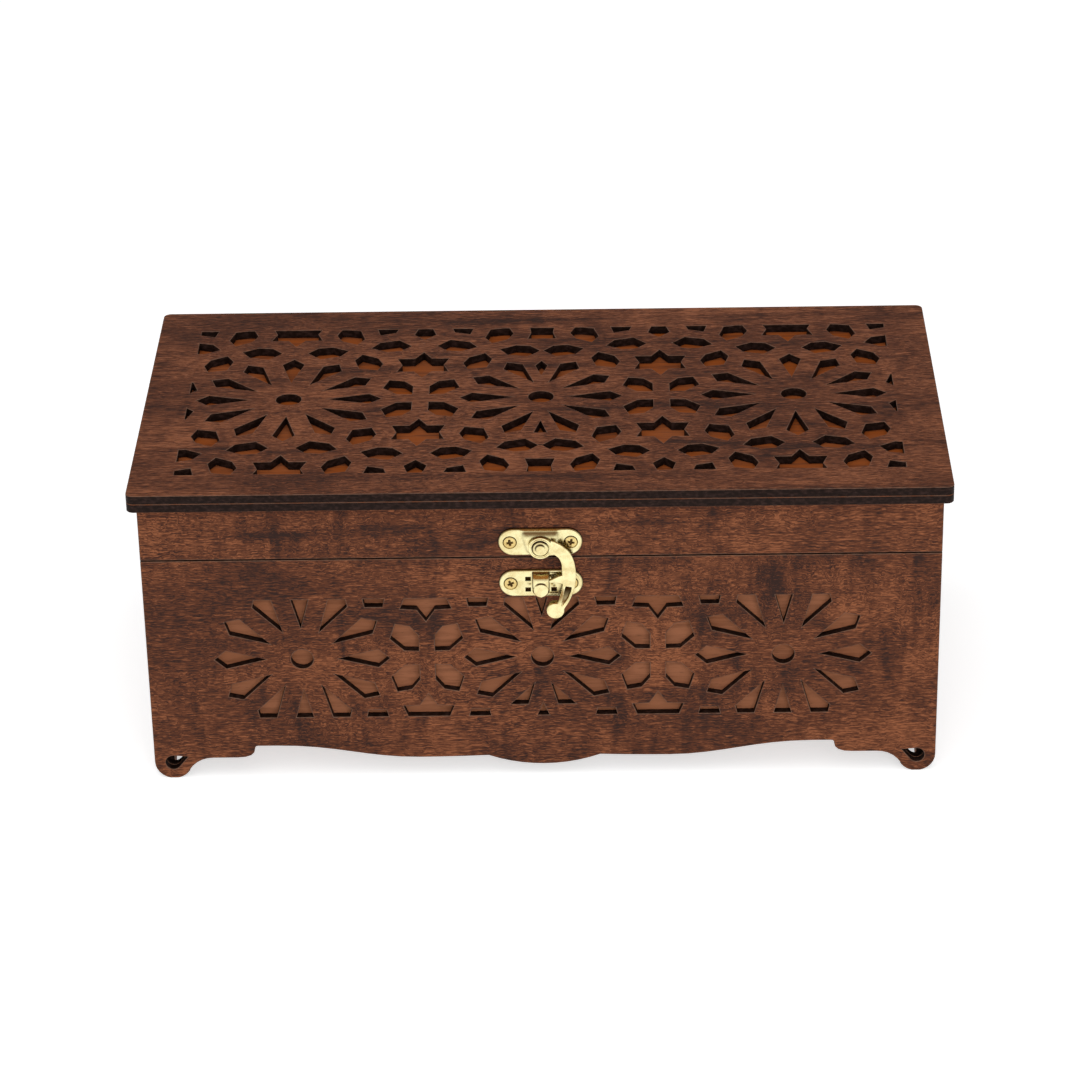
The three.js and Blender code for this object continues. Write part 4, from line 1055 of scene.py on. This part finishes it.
    def hook_painted_shade(self, place):
        """Painted shade in the channel of the tail, fading lower down, under the upper side of the
        rivet's head, and on the sides.
        """
        drop = place.z / MM - HOOK_PIVOT_Z
        away = math.hypot(place.x / MM, drop)
        out = (FRONT_FACE - place.y) / MM - self.lean(drop)
        if away < 3.0 and out > HOOK_BACK + 0.5:
            upper = 0.15 + 0.85 * smooth_step(drop - 0.5 * place.x / MM, -1.6, 1.2)
            return upper * (1 - smooth_step(out, HOOK_FACE - 0.3, HOOK_FACE - 0.03))
        flank = 0.65 * (1 - smooth_step(out, HOOK_FACE - 0.7, HOOK_FACE - 0.2))
        if self.GROOVE[-1][0] < drop < self.GROOVE[0][0] and out > HOOK_BACK + 0.1:
            thin = 1 - 0.6 * smooth_step(-drop, 15.5, 19.0)
            return thin * (1 - smooth_step(out, HOOK_FACE - 0.7, HOOK_FACE - 0.3))
        return flank

    def add_rivet(self):
        head = HOOK_FACE - 0.1
        profile = [
            (0.0, PLATE_SEAT + 0.2), (1.2, PLATE_SEAT + 0.2), (1.2, head), (2.58, head),
            (2.6, head + 0.1), (2.56, head + 0.34), (2.4, head + 0.5), (2.1, head + 0.54),
            (1.72, head + 0.48), (1.6, head + 0.56), (1.5, RIVET_FACE - 0.14),
            (1.3, RIVET_FACE - 0.03), (0.9, RIVET_FACE), (0.0, RIVET_FACE - 0.06),
        ]
        form = bmesh.new()
        add_turned(form, profile, 0.0, HOOK_PIVOT_Z, front_point)
        piece = add_fitting("dished_rivet", form, "lid", "latch_rivet")

        # Painted shade on the upper side of the rivet's steps
        def rivet_painted_shade(co):
            away = math.hypot(co.x / MM, co.z / MM - HOOK_PIVOT_Z)
            rings = max(math.exp(-(((away - r) / 0.22) ** 2)) for r in self.RIVET_STEPS)
            side = co.z / MM - HOOK_PIVOT_Z - 0.5 * co.x / MM
            return rings * smooth_step(side, -0.8, 1.4)

        mark_shade_and_tarnish(piece, rivet_painted_shade)


class SERVING_BOX_OT_screws(bpy.types.Operator):
    """Make the cross-slotted screws of the latch and the hinges"""

    bl_idname = "serving_box.screws"
    bl_label = "Screws"

    HEAD_RADIUS = 2.0
    HEAD_RISE = 0.75
    SLOT_HALF = 0.34
    SLOT_REACH = 1.4
    SLOT_DEPTH = 0.5
    # Turn of each screw's cross, in degrees, and the turn from one hinge screw to the next
    TURNS = {"latch_screw_1": 8, "latch_screw_2": -12, "catch_screw_1": 25, "catch_screw_2": 3}
    HINGE_TURN = 17
    # Name, how many, body, wall that they stand on, sign of x there, and how deep the heads sink
    PLACES = [
        ("latch_screw", 2, "lid", front_point, 1, SEAT_DEPTH),
        ("catch_screw", 2, "box", front_point, 1, SEAT_DEPTH),
        ("box_hinge_screw", 4, "box", back_point, -1, 0.0),
        ("lid_hinge_screw", 4, "lid", back_point, -1, 0.0),
    ]

    def execute(self, context):
        for prefix, count, body, point, side, sunk in self.PLACES:
            for number in range(1, count + 1):
                self.add_screw(f"{prefix}_{number}", body, point, side, sunk)
        return {"FINISHED"}

    def head_height(self, x, y, radius):
        """Crowned head with a tapered cross slot."""
        crown = self.HEAD_RISE * math.sqrt(max(1 - (radius / self.HEAD_RADIUS) ** 2 * 0.62, 0.0))
        slot = 0.0
        for along, across in ((abs(x), abs(y)), (abs(y), abs(x))):
            inside = 1 - smooth_step(across, self.SLOT_HALF - 0.08, self.SLOT_HALF + 0.08)
            taper = 1 - smooth_step(along, self.SLOT_REACH - 0.7, self.SLOT_REACH)
            slot = max(slot, inside * taper)
        return crown - self.SLOT_DEPTH * slot

    def add_screw(self, node, body, point, side, sunk):
        low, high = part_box(node)
        centre = middle(node)
        x = centre.x * side
        face, top = (FRONT_FACE, low.y) if side > 0 else (BACK_FACE, high.y)
        seat = abs(top - face) / MM - (self.HEAD_RISE + sunk)
        turn = math.radians(self.TURNS.get(node, self.HINGE_TURN * (int(node[-1]) - 2)))
        tip = -seat - 4.0
        rows = []
        profile = [(0.0, tip), (0.9, tip + 1.4), (0.9, 0.0), (self.HEAD_RADIUS, 0.0)]
        radii = [self.HEAD_RADIUS * share for share in (1.0, 0.97, 0.92, 0.85)]
        radii += [0.1 * step for step in range(16, -1, -1)]

        def place(radius, angle, out):
            along, up = radius * math.cos(angle), radius * math.sin(angle)
            return point(x + along, centre.z + up, seat + out)

        for radius, out in profile:
            rows.append([place(radius, angle, out) for angle in around(72)])
        for radius in radii:
            row = []
            for angle in around(72):
                along, across = radius * math.cos(angle - turn), radius * math.sin(angle - turn)
                row.append(place(radius, angle, self.head_height(along, across, radius)))
            rows.append(row)
        form = bmesh.new()
        add_grid(form, rows)
        piece = add_fitting(f"{node}_cross", form, body, node, "plated_screw")
        bottom = self.HEAD_RISE - self.SLOT_DEPTH

        # Darker towards the bottom of the cross slot
        def depth(co):
            near = math.hypot(co.x / MM - centre.x, co.z / MM - centre.z)
            out = abs(co.y - face) / MM - seat
            if near > self.SLOT_REACH or out < 0:
                return 0.0
            return 0.9 * (1 - smooth_step(out, bottom, bottom + 0.35))

        mark_shade_and_tarnish(piece, depth)


class SERVING_BOX_OT_hinges(bpy.types.Operator):
    """Make the two hinges with their rolled knuckles and pins"""

    bl_idname = "serving_box.hinges"
    bl_label = "Hinges"

    KNUCKLES = 5
    KNUCKLE_GAP = 0.3
    BARREL_RADIUS = 1.9
    LEAF_START = 2.5
    CORNER = 2.0
    EDGE_ROLL = 0.18
    PIN_RADIUS = 0.9
    PIN_PLAY = 0.2

    def execute(self, context):
        for side in ("left", "right"):
            self.add_leaf(f"{side}_hinge_box_leaf", "box", -1, 0)
            self.add_leaf(f"{side}_hinge_lid_leaf", "lid", 1, 1)
            self.add_pin(f"{side}_hinge_pin")
        return {"FINISHED"}

    def add_leaf(self, node, body, up, first):
        """A flat leaf with round corners, and every other knuckle of the barrel."""
        low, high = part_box(node)
        x = -(low.x + high.x) / 2 / MM
        width = (high.x - low.x) / MM
        reach = (high.z / MM - HINGE_AXIS_Z) if up > 0 else (HINGE_AXIS_Z - low.z / MM)
        form = bmesh.new()
        outline = [(-width / 2, self.LEAF_START), (width / 2, self.LEAF_START)]
        for centre_x, start in ((width / 2 - self.CORNER, 0), (self.CORNER - width / 2, 90)):
            for step in range(9):
                angle = math.radians(start + 90 * step / 8)
                along, rise = self.CORNER * math.cos(angle), self.CORNER * math.sin(angle)
                outline.append((centre_x + along, reach - self.CORNER + rise))
        rows = []
        edge = (0.0, PLATE_SEAT), (0.0, PLATE_FACE - self.EDGE_ROLL), (self.EDGE_ROLL, PLATE_FACE)
        for inset, out in edge:
            row = []
            for px, py in outline:
                px *= 1 - inset / (width / 2)
                py -= inset * (py - self.LEAF_START) / reach
                row.append(back_point(x + px, HINGE_AXIS_Z + up * py, out))
            rows.append(row)
        add_bar(form, rows)
        pitch = (width + self.KNUCKLE_GAP) / self.KNUCKLES
        for index in range(first, self.KNUCKLES, 2):
            start = x - width / 2 + index * pitch
            self.add_knuckle(form, start, start + pitch - self.KNUCKLE_GAP, up)
        add_fitting(f"{node}_rolled", form, body, node)

    def add_knuckle(self, form, start, end, up):
        """Sheet rolled round the pin, running out into the leaf."""
        outer = self.BARREL_RADIUS
        inner = self.PIN_RADIUS + self.PIN_PLAY
        thick = PLATE_FACE - PLATE_SEAT
        run_out = -self.LEAF_START - 0.6
        turns = [math.radians(-90 + 335 * k / 40) for k in range(41)]
        path = [(-math.cos(angle), math.sin(angle)) for angle in turns]
        loop = [(run_out, -outer), *[(rise * outer, out * outer) for rise, out in path]]
        hole = [(run_out, thick - outer), *[(rise * inner, out * inner) for rise, out in path]]
        rows = []
        for x in (start, end):
            row = []
            for rise, out in [*loop, *hole[::-1]]:
                row.append(back_point(x, HINGE_AXIS_Z - up * rise, HINGE_AXIS_OUT + out))
            rows.append(row)
        for ring in add_grid(form, rows):
            for index in range(len(loop) - 1):
                form.faces.new((ring[index], ring[index + 1], ring[-index - 2], ring[-index - 1]))

    def add_pin(self, node):
        low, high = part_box(node)
        x = -(low.x + high.x) / 2 / MM
        half = (high.x - low.x) / 2 / MM
        radius = self.PIN_RADIUS
        form = bmesh.new()
        rows = []
        profile = [(-half, 0.0), (-half, radius * 0.6), (0.25 - half, radius)]
        profile += [(half - 0.25, radius), (half, radius * 0.6), (half, 0.0)]
        for along, size in profile:
            row = []
            for angle in around(32):
                z, out = size * math.cos(angle), size * math.sin(angle)
                row.append(back_point(x + along, HINGE_AXIS_Z + z, HINGE_AXIS_OUT + out))
            rows.append(row)
        add_grid(form, rows)
        add_fitting(f"{node}_turned", form, "box", node, "plated_screw")


class SERVING_BOX_PT_panel(bpy.types.Panel):
    """Sidebar panel with the box's finishes and pieces"""

    bl_idname = "SERVING_BOX_PT_panel"
    bl_label = "Serving Box"
    bl_space_type = "VIEW_3D"
    bl_region_type = "UI"
    bl_category = "Serving Box"

    def draw(self, context):
        layout = self.layout
        scene = context.scene
        for group in (scene.serving_box_wood, scene.serving_box_brass, scene.serving_box_studio):
            box = layout.box()
            for name in group.__annotations__:
                box.prop(group, name)
        for operator in OPERATORS:
            layout.operator(operator.bl_idname)


OPERATORS = (
    SERVING_BOX_OT_stage,
    SERVING_BOX_OT_pierced_lid,
    SERVING_BOX_OT_lid_rim,
    SERVING_BOX_OT_walls,
    SERVING_BOX_OT_inside,
    SERVING_BOX_OT_latch_plate,
    SERVING_BOX_OT_catch_plate,
    SERVING_BOX_OT_latch_hook,
    SERVING_BOX_OT_screws,
    SERVING_BOX_OT_hinges,
)
CLASSES = (ServingBoxWood, ServingBoxBrass, ServingBoxStudio, *OPERATORS, SERVING_BOX_PT_panel)


def register():
    for cls in CLASSES:
        bpy.utils.register_class(cls)
    bpy.types.Scene.serving_box_wood = PointerProperty(type=ServingBoxWood)
    bpy.types.Scene.serving_box_brass = PointerProperty(type=ServingBoxBrass)
    bpy.types.Scene.serving_box_studio = PointerProperty(type=ServingBoxStudio)


def unregister():
    del bpy.types.Scene.serving_box_studio
    del bpy.types.Scene.serving_box_brass
    del bpy.types.Scene.serving_box_wood
    for cls in reversed(CLASSES):
        bpy.utils.unregister_class(cls)


def main():
    register()
    bpy.ops.serving_box.stage()
    bpy.ops.serving_box.pierced_lid()
    bpy.ops.serving_box.lid_rim()
    bpy.ops.serving_box.walls()
    bpy.ops.serving_box.inside()
    bpy.ops.serving_box.latch_plate()
    bpy.ops.serving_box.catch_plate()
    bpy.ops.serving_box.latch_hook()
    bpy.ops.serving_box.screws()
    bpy.ops.serving_box.hinges()


if __name__ == "__main__":
    main()
